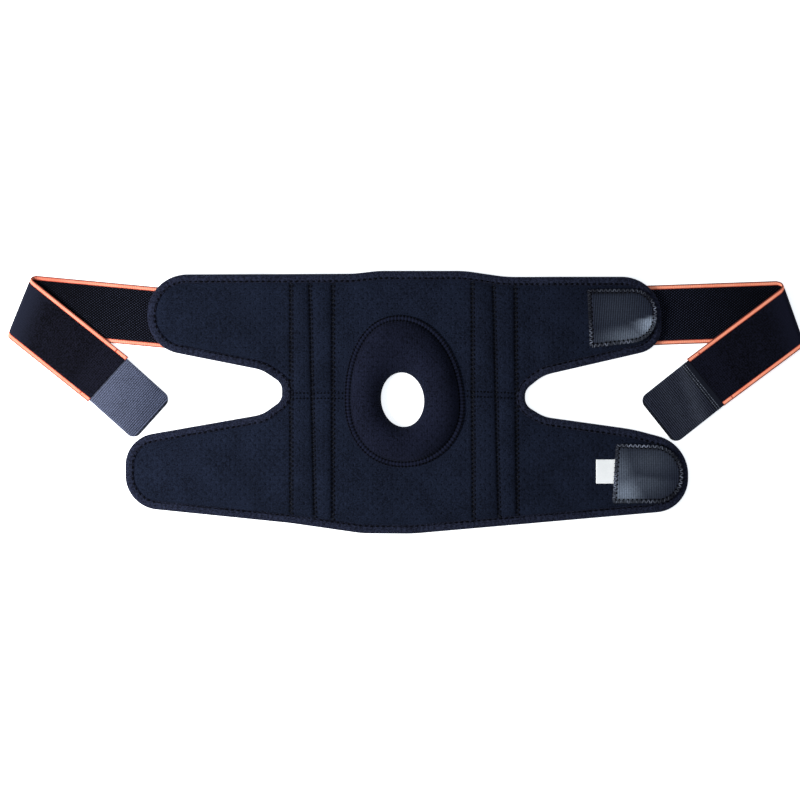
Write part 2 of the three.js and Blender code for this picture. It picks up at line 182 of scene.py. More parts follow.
class Graph:
    """A node tree with one method that adds nodes to it."""

    def __init__(self, tree: bpy.types.NodeTree) -> None:
        """Starts on an emptied tree."""
        self.tree = tree
        tree.nodes.clear()

    def add(
        self, kind: str, sockets: dict[str | int, Value] | None = None, out: int | str = 0, **settings: Value
    ) -> Wire:
        """Adds a node.

        Args:
            kind: The node's type.
            sockets: Values or wires for its inputs, by name or place.
            out: The output that is wanted.
            settings: The node's properties, which are set first.

        Returns:
            That output. A node without outputs gives a wire with no socket.
        """
        node = self.tree.nodes.new(kind)
        for name, value in settings.items():
            setattr(node, name, value)
        for key, value in (sockets or {}).items():
            if isinstance(value, Wire):
                self.tree.links.new(value.socket, node.inputs[key])
            else:
                node.inputs[key].default_value = value
        return Wire(self, node.outputs[out] if len(node.outputs) else None)

    def parts(self, vector: Wire) -> tuple[Wire, Wire, Wire]:
        """The three parts of a vector."""
        split = self.add("ShaderNodeSeparateXYZ", {0: vector}).socket.node
        return tuple(Wire(self, part) for part in split.outputs)


@dataclass(frozen=True)
class Sheen:
    """The short nap of a cloth."""

    weight: float
    roughness: float
    tint: Colour


class Paint(Graph):
    """A material's tree, with the nodes that cloth and plastic finishes share."""

    def __init__(self, name: str) -> None:
        """Starts an empty material of this name."""
        self.material = bpy.data.materials.new(name)
        self.material.use_nodes = True
        super().__init__(self.material.node_tree)

    def place(self) -> Wire:
        """Object coordinates, in metres."""
        return self.add("ShaderNodeTexCoord", out="Object")

    def split(self, vector: Wire) -> tuple[Wire, Wire, Wire]:
        """The three parts of a vector, in millimetres where it is in metres."""
        sockets = {0: vector, "Scale": 1 / MM}
        return self.parts(self.add("ShaderNodeVectorMath", sockets, operation="SCALE"))

    def along(self) -> tuple[Wire, Wire]:
        """The UV map's two parts, in millimetres along and across a band."""
        return self.split(self.add("ShaderNodeTexCoord", out="UV"))[:2]

    def noise(self, vector: Wire, grain: float, detail: float = 2.0, rough: float = 0.5) -> Wire:
        """Noise with grains of this many millimetres."""
        sockets = {"Vector": vector, "Scale": 1 / (grain * MM), "Detail": detail, "Roughness": rough}
        return self.add("ShaderNodeTexNoise", sockets)

    def attribute(self, name: str) -> Wire:
        """A number that the mesh carries at its points."""
        return self.add("ShaderNodeAttribute", out="Fac", attribute_name=name)

    def mix(self, share: Value, first: Value, second: Value) -> Wire:
        """A colour between two, at share 0 the first."""
        first, second = ((*c, 1.0) if isinstance(c, tuple) else c for c in (first, second))
        sockets = {0: share, 6: first, 7: second}
        return self.add("ShaderNodeMix", sockets, out=2, data_type="RGBA", clamp_factor=True)

    def shaded(self, colour: Wire, shade: Colour) -> Wire:
        """A colour that turns to its shade where the mesh is marked so."""
        return self.mix(self.attribute("shade"), colour, shade)

    def relief(self, height: Wire, depth: float) -> Wire:
        """A normal that follows a height from 0 to 1, this many millimetres deep."""
        return self.add("ShaderNodeBump", {"Strength": 1.0, "Distance": depth * MM, "Height": height})

    def close(self, sheen: Sheen | None = None, **sockets: Value) -> Material:
        """Ends in one Principled shader.

        Args:
            sheen: The nap, on a cloth that has one.
            sockets: The shader's inputs by name, with _ for each space.

        Returns:
            The finished material.
        """
        if sheen:
            sockets |= {"Sheen_Weight": sheen.weight, "Sheen_Roughness": sheen.roughness}
            sockets["Sheen_Tint"] = (*sheen.tint, 1.0)
        named = {name.replace("_", " "): value for name, value in sockets.items()}
        shader = self.add("ShaderNodeBsdfPrincipled", named)
        self.add("ShaderNodeOutputMaterial", {"Surface": shader})
        return self.material


# Finishes

DEEP_SHADE: Colour = (0.0004, 0.0005, 0.0009)


@dataclass(frozen=True)
class KnitFinish:
    """A dull stretch knit over foam, with faint wales and a short nap."""

    name: str
    colour: Colour
    nap: Colour
    wale: float = 1.25
    course: float = 1.0
    depth: float = 0.16
    grain: float = 1.0
    shade: Colour = DEEP_SHADE

    SHEEN = Sheen(0.05, 0.45, (0.55, 0.62, 0.95))

    def material(self) -> Material:
        """Builds the finish.

        Returns:
            The material.
        """
        paint = Paint(self.name)
        place = paint.place()
        x, y, _ = paint.split(place)
        drift = paint.noise(place, 3.0)
        loops = (x + drift * 0.7).wave(self.wale) * (y + drift * 0.5).wave(self.course)
        fuzz = paint.noise(place, 0.9, 3.0, 0.7)
        grain = paint.noise(place, self.grain, 2.0, 0.6)
        cloud = paint.noise(place, 28.0, 3.0, 0.6)
        light = loops * 0.2 + grain.step(0.36, 0.64) * 0.52 + fuzz.step(0.35, 0.65) * 0.2
        # The mark 'pale' is a painted highlight on raised folds of the cloth
        light = light + cloud.step(0.3, 0.7) * 0.2 - 0.06 + paint.attribute("pale") * 0.9
        return paint.close(
            self.SHEEN,
            Base_Color=paint.shaded(paint.mix(light, self.colour, self.nap), self.shade),
            Roughness=fuzz * 0.2 + 0.78,
            Normal=paint.relief(loops * 0.5 + fuzz * 0.4 + grain * 1.2, self.depth),
            Specular_IOR_Level=0.025,
        )


@dataclass(frozen=True)
class TapeFinish:
    """A folded binding tape with fine slanting ribs."""

    name: str
    colour: Colour
    rib: Colour
    pitch: float = 1.3
    depth: float = 0.14
    shade: Colour = DEEP_SHADE

    SHEEN = Sheen(0.06, 0.4, (0.62, 0.6, 0.95))

    def material(self) -> Material:
        """Builds the finish.

        Returns:
            The material.
        """
        paint = Paint(self.name)
        place = paint.place()
        u, v = paint.along()
        drift = paint.noise(place, 4.0)
        ribs = (u + v * 0.45 + drift * 0.5).wave(self.pitch)
        fuzz = paint.noise(place, 0.7, 3.0, 0.65)
        grain = paint.noise(place, 1.5, 2.0, 0.6)
        cloud = paint.noise(place, 22.0, 2.0)
        light = ribs * 0.35 + grain.step(0.4, 0.6) * 0.55 + fuzz * 0.3 + cloud * 0.2 - 0.22
        return paint.close(
            self.SHEEN,
            Base_Color=paint.shaded(paint.mix(light, self.colour, self.rib), self.shade),
            Roughness=fuzz * 0.2 + 0.72,
            Normal=paint.relief(ribs * 0.5 + fuzz * 0.4 + grain * 0.9, self.depth),
            Specular_IOR_Level=0.03,
        )


@dataclass(frozen=True)
class WebFinish:
    """Woven elastic: a twill of pale dots on its upper face and a finer plain weave on the other."""

    name: str
    valley: Colour
    yarn: Colour
    back: Colour
    fold_highlight: Colour
    pitch: float = 1.85
    depth: float = 0.22
    shade: Colour = (0.0003, 0.0003, 0.0006)

    SHEEN = Sheen(0.02, 0.5, (0.7, 0.72, 0.95))

    def material(self) -> Material:
        """Builds the finish.

        Returns:
            The material.
        """
        paint = Paint(self.name)
        place = paint.place()
        u, v = paint.along()
        under = paint.attribute("underside")
        drift = paint.noise(place, 5.0) * 0.35
        cross = (u * 0.58 + v * 0.81 + drift).wave(self.pitch)
        twill = (u * 0.635 - v * 0.773 + drift).wave(self.pitch) * (cross * 0.65 + 0.35)
        plain = (u + drift).wave(1.9) * 0.5 + (v + drift).wave(1.7) * 0.5
        fuzz = paint.noise(place, 0.6, 3.0, 0.65)
        cloud = paint.noise(place, 30.0, 2.0)
        grain = paint.noise(place, 1.3, 2.0, 0.6).step(0.38, 0.62)
        # Painted shade: the twill's light dots are painted darker towards the fold
        lit = twill.step(0.45, 0.9) * (grain * 0.5 + 0.75) * (1 - paint.attribute("fold_shade") * 0.6)
        front = paint.mix(lit + fuzz * 0.16 - 0.12, self.valley, self.yarn)
        woven = plain.step(0.2, 0.9) * (paint.attribute("hem") * 0.5 + 0.3)
        woven = woven + grain * 0.65 + fuzz * 0.4 + cloud * 0.2 - 0.38
        rear = paint.mix(woven, self.valley, self.back)
        # Painted highlight: the strap's back is painted lighter just past the fold
        rear = paint.mix(paint.attribute("fold_highlight") * (fuzz * 0.5 + 0.6), rear, self.fold_highlight)
        height = twill * (1 - under) + (plain * 0.55 + 0.2) * under + fuzz * 0.2
        return paint.close(
            self.SHEEN,
            Base_Color=paint.shaded(paint.mix(under, front, rear), self.shade),
            Roughness=fuzz * 0.2 + 0.66,
            Normal=paint.relief(height, self.depth),
            Specular_IOR_Level=0.03,
        )


@dataclass(frozen=True)
class EdgingFinish:
    """The coloured woven edge of the elastic: ribbed across, redder at the webbing and dull at its rim."""

    name: str
    middle: Colour
    side: Colour
    selvedge: Colour
    rim: Colour
    pitch: float = 1.6
    centre: float = 24.3
    half_width: float = 2.0
    depth: float = 0.2

    SHEEN = Sheen(0.04, 0.5, (1.0, 0.6, 0.4))

    def material(self) -> Material:
        """Builds the finish.

        Returns:
            The material.
        """
        paint = Paint(self.name)
        place = paint.place()
        u, v = paint.along()
        fuzz = paint.noise(place, 0.5, 3.0, 0.6)
        ribs = (u + fuzz * 0.25).wave(self.pitch)
        cloud = paint.noise(place, 14.0, 2.0)
        reach = (abs(v) - self.centre) * (1 / self.half_width)
        share = abs(reach).step(0.35, 0.9) * 0.4 + (1 - ribs) * 0.3 + cloud.step(0.35, 0.65) * 0.35 - 0.1
        body = paint.mix(share, self.middle, self.side)
        body = paint.mix(reach.step(-0.35, -0.9), body, self.selvedge)
        body = paint.mix(reach.step(0.3, 0.8), body, self.rim)
        return paint.close(
            self.SHEEN,
            Base_Color=paint.shaded(body, self.selvedge),
            Roughness=fuzz * 0.25 + 0.6,
            Normal=paint.relief(ribs * 0.7 + fuzz * 0.4, self.depth),
            Specular_IOR_Level=0.08,
        )


@dataclass(frozen=True)
class HookFinish:
    """Moulded hook tape: satin plastic with a fine grid, paler tops of its rows and painted reflections."""

    name: str
    colour: Colour
    crest: Colour
    shine: Colour
    border: Colour
    grid: float = 2.0
    cross: float = 0.35
    depth: float = 0.05

    def material(self) -> Material:
        """Builds the finish.

        Returns:
            The material.
        """
        paint = Paint(self.name)
        place = paint.place()
        _, v = paint.along()
        fuzz = paint.noise(place, 0.45, 3.0, 0.6)
        grain = paint.noise(place, 1.6, 2.0, 0.6).step(0.35, 0.65)
        cloud = paint.noise(place, 16.0, 2.0)
        rows = paint.attribute("row").step(0.15, 0.85)
        weave = rows * (v.wave(self.grid) * self.cross + (1 - self.cross))
        light = weave * 0.85 + grain * 0.14 + fuzz * 0.12 + cloud * 0.2 - 0.16
        # Painted reflection: where the mesh is marked, the tape turns towards its shine colour in place of
        # the lamps' reflections in the satin plastic
        reflection_share = paint.attribute("painted_reflection") * (weave * 0.4 + grain * 0.2 + 0.45)
        with_reflection = paint.mix(reflection_share, paint.mix(light, self.colour, self.crest), self.shine)
        return paint.close(
            Base_Color=paint.mix(paint.attribute("border"), with_reflection, self.border),
            Roughness=fuzz * 0.16 + cloud * 0.1 + 0.37,
            Normal=paint.relief(fuzz, self.depth),
            Specular_IOR_Level=0.05,
        )


@dataclass(frozen=True)
class LabelFinish:
    """Plain white woven tape."""

    name: str
    colour: Colour
    shade: Colour
    depth: float = 0.06

    def material(self) -> Material:
        """Builds the finish.

        Returns:
            The material.
        """
        paint = Paint(self.name)
        place = paint.place()
        x, y, _ = paint.split(place)
        weave = x.wave(0.55) * 0.5 + y.wave(0.45) * 0.5
        fuzz = paint.noise(place, 0.6, 2.0)
        cloud = paint.noise(place, 9.0, 2.0)
        share = weave * 0.3 + fuzz * 0.3 + cloud * 0.3
        return paint.close(
            Base_Color=paint.mix(share, self.shade, self.colour),
            Roughness=fuzz * 0.2 + 0.55,
            Normal=paint.relief(weave + fuzz * 0.3, self.depth),
            Specular_IOR_Level=0.2,
        )


@dataclass(frozen=True)
class ThreadFinish:
    """Sewing thread, twisted, with a tone for each stitch."""

    name: str
    colour: Colour
    shine: Colour
    specular: float = 0.03
    depth: float = 0.05

    def material(self) -> Material:
        """Builds the finish.

        Returns:
            The material.
        """
        paint = Paint(self.name)
        place = paint.place()
        x, y, z = paint.split(place)
        twist = (x + y + z * 0.6).wave(0.45)
        fuzz = paint.noise(place, 0.35, 2.0)
        tone = paint.attribute("tone") * (1 - paint.attribute("end").step(0.4, 0.95))
        return paint.close(
            Base_Color=paint.mix((twist * 0.4 + fuzz * 0.4 + 0.3) * tone * 2.0, self.colour, self.shine),
            Roughness=fuzz * 0.2 + 0.6,
            Normal=paint.relief(twist, self.depth),
            Specular_IOR_Level=self.specular,
        )


Finish = KnitFinish | TapeFinish | WebFinish | EdgingFinish | HookFinish | LabelFinish | ThreadFinish

PANEL_KNIT = KnitFinish("panel_knit", srgb(6, 8, 15), srgb(28, 35, 53))
RING_KNIT = KnitFinish(
    "ring_knit", srgb(6, 7, 14), srgb(27, 31, 49), wale=2.2, course=0.85, depth=0.12, grain=1.1
)
BINDING_TAPE = TapeFinish("binding_tape", srgb(7, 8, 15), srgb(37, 42, 61))
# The last colour of each webbing is its painted highlight past the fold; on the right it equals the back, so
# none shows
WEB_LEFT = WebFinish("webbing_left", srgb(1, 1, 3), srgb(47, 51, 69), srgb(20, 21, 33), srgb(26, 29, 42))
WEB_RIGHT = WebFinish("webbing_right", srgb(1, 1, 3), srgb(52, 58, 80), srgb(20, 22, 36), srgb(20, 22, 36))
# Lit and shaded copies of one edging: the right strap's colours are painted brighter to make up for the
# weaker light on the right
EDGE_LEFT = EdgingFinish(
    "edging_left", srgb(234, 147, 124), srgb(220, 112, 85), srgb(140, 40, 24), srgb(128, 64, 50)
)
EDGE_RIGHT = EdgingFinish(
    "edging_right", srgb(254, 164, 134), srgb(246, 124, 90), srgb(140, 32, 16), srgb(110, 50, 38)
)
# The third colour of each hook tape is the colour of its painted reflection
PATCH_HOOK = HookFinish(
    "patch_hook", srgb(11, 13, 23), srgb(33, 40, 57), srgb(158, 172, 192), srgb(9, 11, 19)
)
# Lit and shaded copies of one hook tape: the left tab is painted brighter, as it lies nearer the key light
TAB_HOOK_LEFT = HookFinish(
    "tab_hook_left", srgb(2, 3, 6), srgb(87, 95, 122), srgb(130, 138, 166), srgb(14, 16, 26), 1.6, 0.5
)
TAB_HOOK_RIGHT = HookFinish(
    "tab_hook_right", srgb(1, 2, 4), srgb(55, 60, 78), srgb(110, 118, 134), srgb(20, 23, 33), 1.6, 0.5
)
LABEL_WHITE = LabelFinish("label_white", srgb(246, 249, 250), srgb(224, 228, 231))
DARK_THREAD = ThreadFinish("dark_thread", srgb(1, 1, 3), srgb(4, 5, 10))
GREY_THREAD = ThreadFinish("grey_thread", srgb(4, 5, 10), srgb(132, 140, 160), specular=0.06)
PALE_THREAD = ThreadFinish("pale_thread", srgb(44, 49, 60), srgb(102, 109, 122), specular=0.08)


# Meshes

class Slot(Enum):
    """Names of material slots."""

    PANEL = "panel_cloth"
    BINDING = "binding_cloth"
    RING = "ring_cloth"
    HOOK = "hook_tape"
    LABEL = "label_cloth"
    WEB = "webbing"
    EDGING = "edging"
    TAB = "tab_tape"


class Held(Enum):
    """How a sheet is held."""

    LAID = "laid"
    FOLDED = "folded"


def placed(name: str, data: bpy.types.ID) -> Object:
    """A new object in the scene, at the origin."""
    made = bpy.data.objects.new(name, data)
    bpy.context.scene.collection.objects.link(made)
    return made


def path_edges(paths: Sequence[Array], is_loop: bool) -> list[tuple[int, int]]:
    """The edges along each path, where the points of all the paths are numbered in turn.

    Args:
        paths: Points along each path.
        is_loop: Whether each path closes.

    Returns:
        Pairs of point numbers.
    """
    edges, start = [], 0
    for path in paths:
        count = len(path)
        edges += [(start + k, start + (k + 1) % count) for k in range(count if is_loop else count - 1)]
        start += count
    return edges


def rim_edges(triangles: Array) -> Array:
    """The edges that only one triangle has, in that triangle's direction."""
    edges = np.concatenate([triangles[:, [0, 1]], triangles[:, [1, 2]], triangles[:, [2, 0]]])
    _, first, uses = np.unique(np.sort(edges, axis=1), axis=0, return_index=True, return_counts=True)
    return edges[first[uses == 1]]


def triangles_inside(loops: Sequence[Array], points: Array) -> tuple[Array, Array]:
    """Fills the first loop with triangles through all the points.

    Args:
        loops: The outer loop, then any inner loops whose edges are kept.
        points: Points inside.

    Returns:
        The plane points, with the loops' own points first, and the triangles.
    """
    everything = np.concatenate([*loops, points])
    edges = path_edges(loops, True)
    plane, _, faces, *_ = delaunay_2d_cdt([Vector(p) for p in everything], edges, [], 1, 1e-5)
    return np.array([p[:] for p in plane]), np.array([tuple(f) for f in faces])


@dataclass
class Shape:
    """Points, faces or edges and what rides on them, until they become a mesh."""

    points: Array
    faces: list[tuple[int, ...]] = field(default_factory=list)
    edges: list[tuple[int, int]] = field(default_factory=list)
    uv: Array | None = None
    marks: dict[str, Array] = field(default_factory=dict)

    @classmethod
    def two_faced(cls, top: Array, faces: Array, under: Array, faces_under: Array) -> "Shape":
        """Closes a sheet between two faces.

        Args:
            top: Points of the upper face.
            faces: Its triangles.
            under: Points of the lower face, whose rim points have the same numbers as the upper's.
            faces_under: Its triangles, turned as the upper's are.

        Returns:
            The closed sheet.
        """
        shift = len(top)
        sides = [(b, a, a + shift, b + shift) for a, b in rim_edges(faces)]
        turned = faces_under[:, ::-1] + shift
        every = [*map(tuple, faces.tolist()), *map(tuple, turned.tolist()), *sides]
        return cls(np.concatenate([top, under]), every)

    def to_carrier(self, name: str) -> Mesh:
        """Makes a bare mesh with the marks at its points.

        Args:
            name: The mesh's name.

        Returns:
            The mesh, in metres.
        """
        mesh = bpy.data.meshes.new(name)
        mesh.from_pydata((self.points * MM).tolist(), self.edges, self.faces)
        for mark, values in self.marks.items():
            values = np.ascontiguousarray(values, np.float32)
            mesh.attributes.new(mark, "FLOAT", "POINT").data.foreach_set("value", values)
        return mesh

    def to_mesh(self, name: str, finish: Material) -> Mesh:
        """Makes a smooth mesh.

        Args:
            name: The mesh's name.
            finish: Its one material.

        Returns:
            The mesh, with outward faces.
        """
        mesh = self.to_carrier(name)
        if self.uv is not None:
            layer = mesh.uv_layers.new(name="UVMap")
            layer.data.foreach_set("uv", (self.uv * MM).astype(np.float32).ravel())
        kit = bmesh.new()
        kit.from_mesh(mesh)
        bmesh.ops.recalc_face_normals(kit, faces=kit.faces)
        kit.to_mesh(mesh)
        kit.free()
        mesh.shade_smooth()
        mesh.materials.append(finish)
        return mesh

    def to_object(self, name: str, finish: Material) -> Object:
        """Makes the mesh an object at the origin."""
        return placed(name, self.to_mesh(name, finish))


def loft(sections: Array, u: Array, v: Array, is_loop: bool, loop_length: float = 0.0) -> Shape:
    """Closes a skin round a row of closed sections.

    Args:
        sections: Points by row and by place round the section.
        u: Length along, for each row or each point.
        v: Place across, for each place or each point.
        is_loop: Whether the last row joins the first. Other bodies get flat ends.
        loop_length: What u comes to once round a loop.

    Returns:
        The closed shape with its UV map.
    """
    rows, places = sections.shape[:2]
    along = np.broadcast_to(u[:, None] if u.ndim == 1 else u, (rows, places))
    across = np.broadcast_to(v[None, :] if v.ndim == 1 else v, (rows, places))
    flat = np.stack([along, across], axis=-1)
    near = np.arange(rows if is_loop else rows - 1)[:, None]
    side = np.arange(places)[None, :]
    far = (near + 1) % rows
    turn = (side + 1) % places
    corners = [(near, side), (near, turn), (far, turn), (far, side)]
    faces = np.stack([row * places + place for row, place in corners], axis=-1).reshape(-1, 4)
    uv = np.stack([flat[row, place] for row, place in corners], axis=-2)
    if is_loop:
        uv[-1, :, 2:, 0] += loop_length
    uv = uv.reshape(-1, 4, 2)
    if not is_loop:
        for row in (0, rows - 1):
            ends = [(j, j + 1, places - 2 - j, places - 1 - j) for j in range(places // 2 - 1)]
            ends = np.array(ends) + row * places
            faces = np.concatenate([faces, ends])
            uv = np.concatenate([uv, flat.reshape(-1, 2)[ends]])
    return Shape(sections.reshape(-1, 3), [tuple(face) for face in faces.tolist()], uv=uv.reshape(-1, 2))


@dataclass(frozen=True)
class Corner:
    """A corner of an outline and the radius of its round."""

    x: float
    y: float
    radius: float


class Outline:
    """A closed outline with round corners, counterclockwise, as evenly spaced stations."""

    ARC_STEP = math.radians(2)
    TANGENT_REACH = 2

    def __init__(self, corners: Sequence[Corner], spacing: float = 1.0) -> None:
        """Rounds the corners and sets the stations.

        Args:
            corners: The corners in turn.
            spacing: About how far apart the stations are.
        """
        dense = joined(self.rounded(corners))
        lengths = lengths_along(dense)
        self.length = float(lengths[-1])
        count = round(self.length / spacing)
        self.along = np.arange(count) * self.length / count
        self.points = resampled(dense, lengths, self.along)
        reach = self.TANGENT_REACH
        tangent = np.roll(self.points, -reach, axis=0) - np.roll(self.points, reach, axis=0)
        tangent /= np.linalg.norm(tangent, axis=1)[:, None]
        self.normals = np.stack([tangent[:, 1], -tangent[:, 0]], axis=1)
        self.low, self.high = self.points.min(axis=0), self.points.max(axis=0)

    @classmethod
    def rounded(cls, corners: Sequence[Corner]) -> Array:
        """Dense points along the arcs of the corners.

        Args:
            corners: The corners in turn.

        Returns:
            Plane points.
        """
        made = []
        for k, corner in enumerate(corners):
            here = np.array([corner.x, corner.y])
            before, after = corners[k - 1], corners[(k + 1) % len(corners)]
            arriving = here - (before.x, before.y)
            leaving = np.array([after.x, after.y]) - here
            first, last = (math.atan2(d[1], d[0]) for d in (arriving, leaving))
            turn = (last - first + math.pi) % (math.tau) - math.pi
            forward = unit(first)
            start = here - forward * corner.radius * math.tan(abs(turn) / 2)
            centre = start + np.array([-forward[1], forward[0]]) * corner.radius * math.copysign(1, turn)
            heading = first + turn * np.linspace(0, 1, max(2, math.ceil(abs(turn) / cls.ARC_STEP)))
            outward = np.stack([np.sin(heading), -np.cos(heading)], axis=1)
            made.append(centre + outward * corner.radius * math.copysign(1, turn))
        return np.concatenate(made)

    def inset(self, distance: float) -> Array:
        """The stations, moved in from the outline."""
        return self.points - self.normals * distance

    def area(self) -> float:
        """The area inside."""
        x, y = self.points.T
        return float(abs(np.sum(x * np.roll(y, -1) - y * np.roll(x, -1))) / 2)

    def depth(self, points: Array) -> Array:
        """How far from the outline each point inside it lies."""
        return distances(points, self.points)

    def holds(self, points: Array) -> Array:
        """Whether each point lies inside the outline.

        Args:
            points: Plane points.

        Returns:
            True for each point inside.
        """
        inside = np.zeros(len(points), bool)
        x, y = points.T
        for (ax, ay), (bx, by) in zip(self.points, np.roll(self.points, -1, axis=0)):
            if ay != by:
                crosses = (ay > y) != (by > y)
                inside ^= crosses & (x < (bx - ax) * (y - ay) / (by - ay) + ax)
        return inside

    def keep(self, points: Array, least: float) -> Array:
        """Those of the points that lie deeper inside the outline than this."""
        points = points[self.holds(points)]
        return points[self.depth(points) > least]


# Sewing, bristles and perforations

class Fitting:
    """A Geometry Nodes tree with named inputs, and the plain meshes that it makes."""

    def __init__(self, name: str, sizes: Sequence[str]) -> None:
        """Starts a tree that takes a geometry, sizes and a material.

        Args:
            name: The tree's name.
            sizes: Names of the inputs that are numbers.
        """
        self.tree = bpy.data.node_groups.new(name, "GeometryNodeTree")
        socket = self.tree.interface.new_socket
        socket("Geometry", in_out="INPUT", socket_type="NodeSocketGeometry")
        kinds = {**dict.fromkeys(sizes, "NodeSocketFloat"), "Finish": "NodeSocketMaterial"}
        self.keys = {
            label: socket(label, in_out="INPUT", socket_type=kind).identifier for label, kind in kinds.items()
        }
        socket("Geometry", in_out="OUTPUT", socket_type="NodeSocketGeometry")
        self.graph = Graph(self.tree)
        self.source = self.graph.add("NodeGroupInput").socket.node

    def given(self, label: str) -> Wire:
        """One of the tree's inputs."""
        return Wire(self.graph, self.source.outputs[label])

    def number(self, name: str) -> Wire:
        """A number that the carrier has at its points."""
        return self.graph.add("GeometryNodeInputNamedAttribute", {"Name": name}, data_type="FLOAT")

    def marked(self, geometry: Wire, name: str, value: Wire) -> Wire:
        """The geometry with a number stored at its points."""
        sockets = {"Geometry": geometry, "Name": name, "Value": value}
        return self.graph.add("GeometryNodeStoreNamedAttribute", sockets, data_type="FLOAT", domain="POINT")

    def chance(self, low: float, high: float, seed: int) -> Wire:
        """A random number at each point."""
        return self.graph.add("FunctionNodeRandomValue", {2: low, 3: high, "Seed": seed}, out=1)

    def parity(self) -> Wire:
        """0 and 1 at the points in turn."""
        index = self.graph.add("GeometryNodeInputIndex")
        return index.math("MODULO", index, 2.0)

    def spin(self, angle: Wire) -> Wire:
        """A turn about the vertical."""
        turn = self.graph.add("ShaderNodeCombineXYZ", {"Z": angle})
        return self.graph.add("FunctionNodeEulerToRotation", {0: turn})

    def end(self, geometry: Wire) -> None:
        """Realizes any instances, shades them smooth, gives them the finish and ends the tree.

        Args:
            geometry: What the tree has made.
        """
        add = self.graph.add
        solid = add("GeometryNodeRealizeInstances", {"Geometry": geometry})
        soft = add("GeometryNodeSetShadeSmooth", {0: solid})
        dyed = add("GeometryNodeSetMaterial", {"Geometry": soft, "Material": self.given("Finish")})
        add("NodeGroupOutput", {0: dyed})

    def make(self, name: str, carrier: Mesh, sizes: dict[str, Value]) -> Object:
        """Runs the tree on a carrier mesh.

        Args:
            name: The new object's name.
            carrier: Paths or points, in metres.
            sizes: Values of the tree's inputs, by name.

        Returns:
            A plain mesh object at the origin.
        """
        made = placed(name, carrier)
        modifier = made.modifiers.new("fitting", "NODES")
        modifier.node_group = self.tree
        for label, value in sizes.items():
            modifier[self.keys[label]] = value
        graph = bpy.context.evaluated_depsgraph_get()
        mesh = bpy.data.meshes.new_from_object(made.evaluated_get(graph))
        made.modifiers.remove(modifier)
        made.data = mesh
        mesh.name = name
        bpy.data.meshes.remove(carrier)
        return made


@dataclass(frozen=True)
class Stitch:
    """Sizes of one stitch."""

    pitch: float
    length: float
    width: float
    height: float
    slant: float = 0.0


class SewnRows(Fitting):
    """Rows of stitches along paths. A slant that turns over at each stitch makes a zigzag."""

    SEGMENTS, RINGS = 8, 4
    JITTER = 0.1
    TONES = (0.3, 1.7)
    SEED = 7

    def __init__(self) -> None:
        """Builds the tree."""
        super().__init__("sewn_rows", ("Pitch", "Length", "Width", "Height", "Slant"))
        add = self.graph.add
        path = add("GeometryNodeMeshToCurve", {0: self.given("Geometry")})
        sockets = {"Curve": path, "Length": self.given("Pitch")}
        spaced = add("GeometryNodeResampleCurve", sockets, mode="LENGTH")
        spaced = self.marked(spaced, "tone", self.number("tone") * self.chance(*self.TONES, self.SEED + 1))
        sockets = {"Vector": add("GeometryNodeInputTangent")}
        heading = add("FunctionNodeAlignRotationToVector", sockets, axis="X", pivot_axis="Z")
        slant = (self.parity() * 2.0 - 1.0) * self.given("Slant")
        lean = self.spin(slant + self.chance(-self.JITTER, self.JITTER, self.SEED))
        sockets = {"Rotation": heading, "Rotate By": lean}
        turned = add("FunctionNodeRotateRotation", sockets, rotation_space="LOCAL")
        sockets = {"Segments": self.SEGMENTS, "Rings": self.RINGS, "Radius": 0.5}
        bead = add("GeometryNodeMeshUVSphere", sockets)
        across, _, _ = self.graph.parts(add("GeometryNodeInputPosition"))
        bead = self.marked(bead, "end", abs(across) * 2.0)
        sockets = {"X": self.given("Length"), "Y": self.given("Width"), "Z": self.given("Height")}
        scale = add("ShaderNodeCombineXYZ", sockets)
        sockets = {"Points": spaced, "Instance": bead, "Rotation": turned, "Scale": scale}
        self.end(add("GeometryNodeInstanceOnPoints", sockets))

    def sew(
        self,
        name: str,
        paths: Sequence[Array],
        finish: Material,
        stitch: Stitch,
        is_loop: bool = False,
        tone: Array | float = 0.5,
    ) -> Object:
        """Sews rows along paths.

        Args:
            name: The new object's name.
            paths: Points along each row, on the cloth.
            finish: The thread.
            stitch: The stitch's sizes.
            is_loop: Whether each path closes.
            tone: How light the thread is, at each point of the paths.

        Returns:
            The stitches as one mesh object.
        """
        points = np.concatenate(paths)
        tones = {"tone": np.broadcast_to(tone, len(points))}
        rows = Shape(points, edges=path_edges(paths, is_loop), marks=tones)
        labels = ("pitch", "length", "width", "height")
        sizes = {label.title(): getattr(stitch, label) * MM for label in labels}
        return self.make(name, rows.to_carrier(name), sizes | {"Slant": stitch.slant, "Finish": finish})


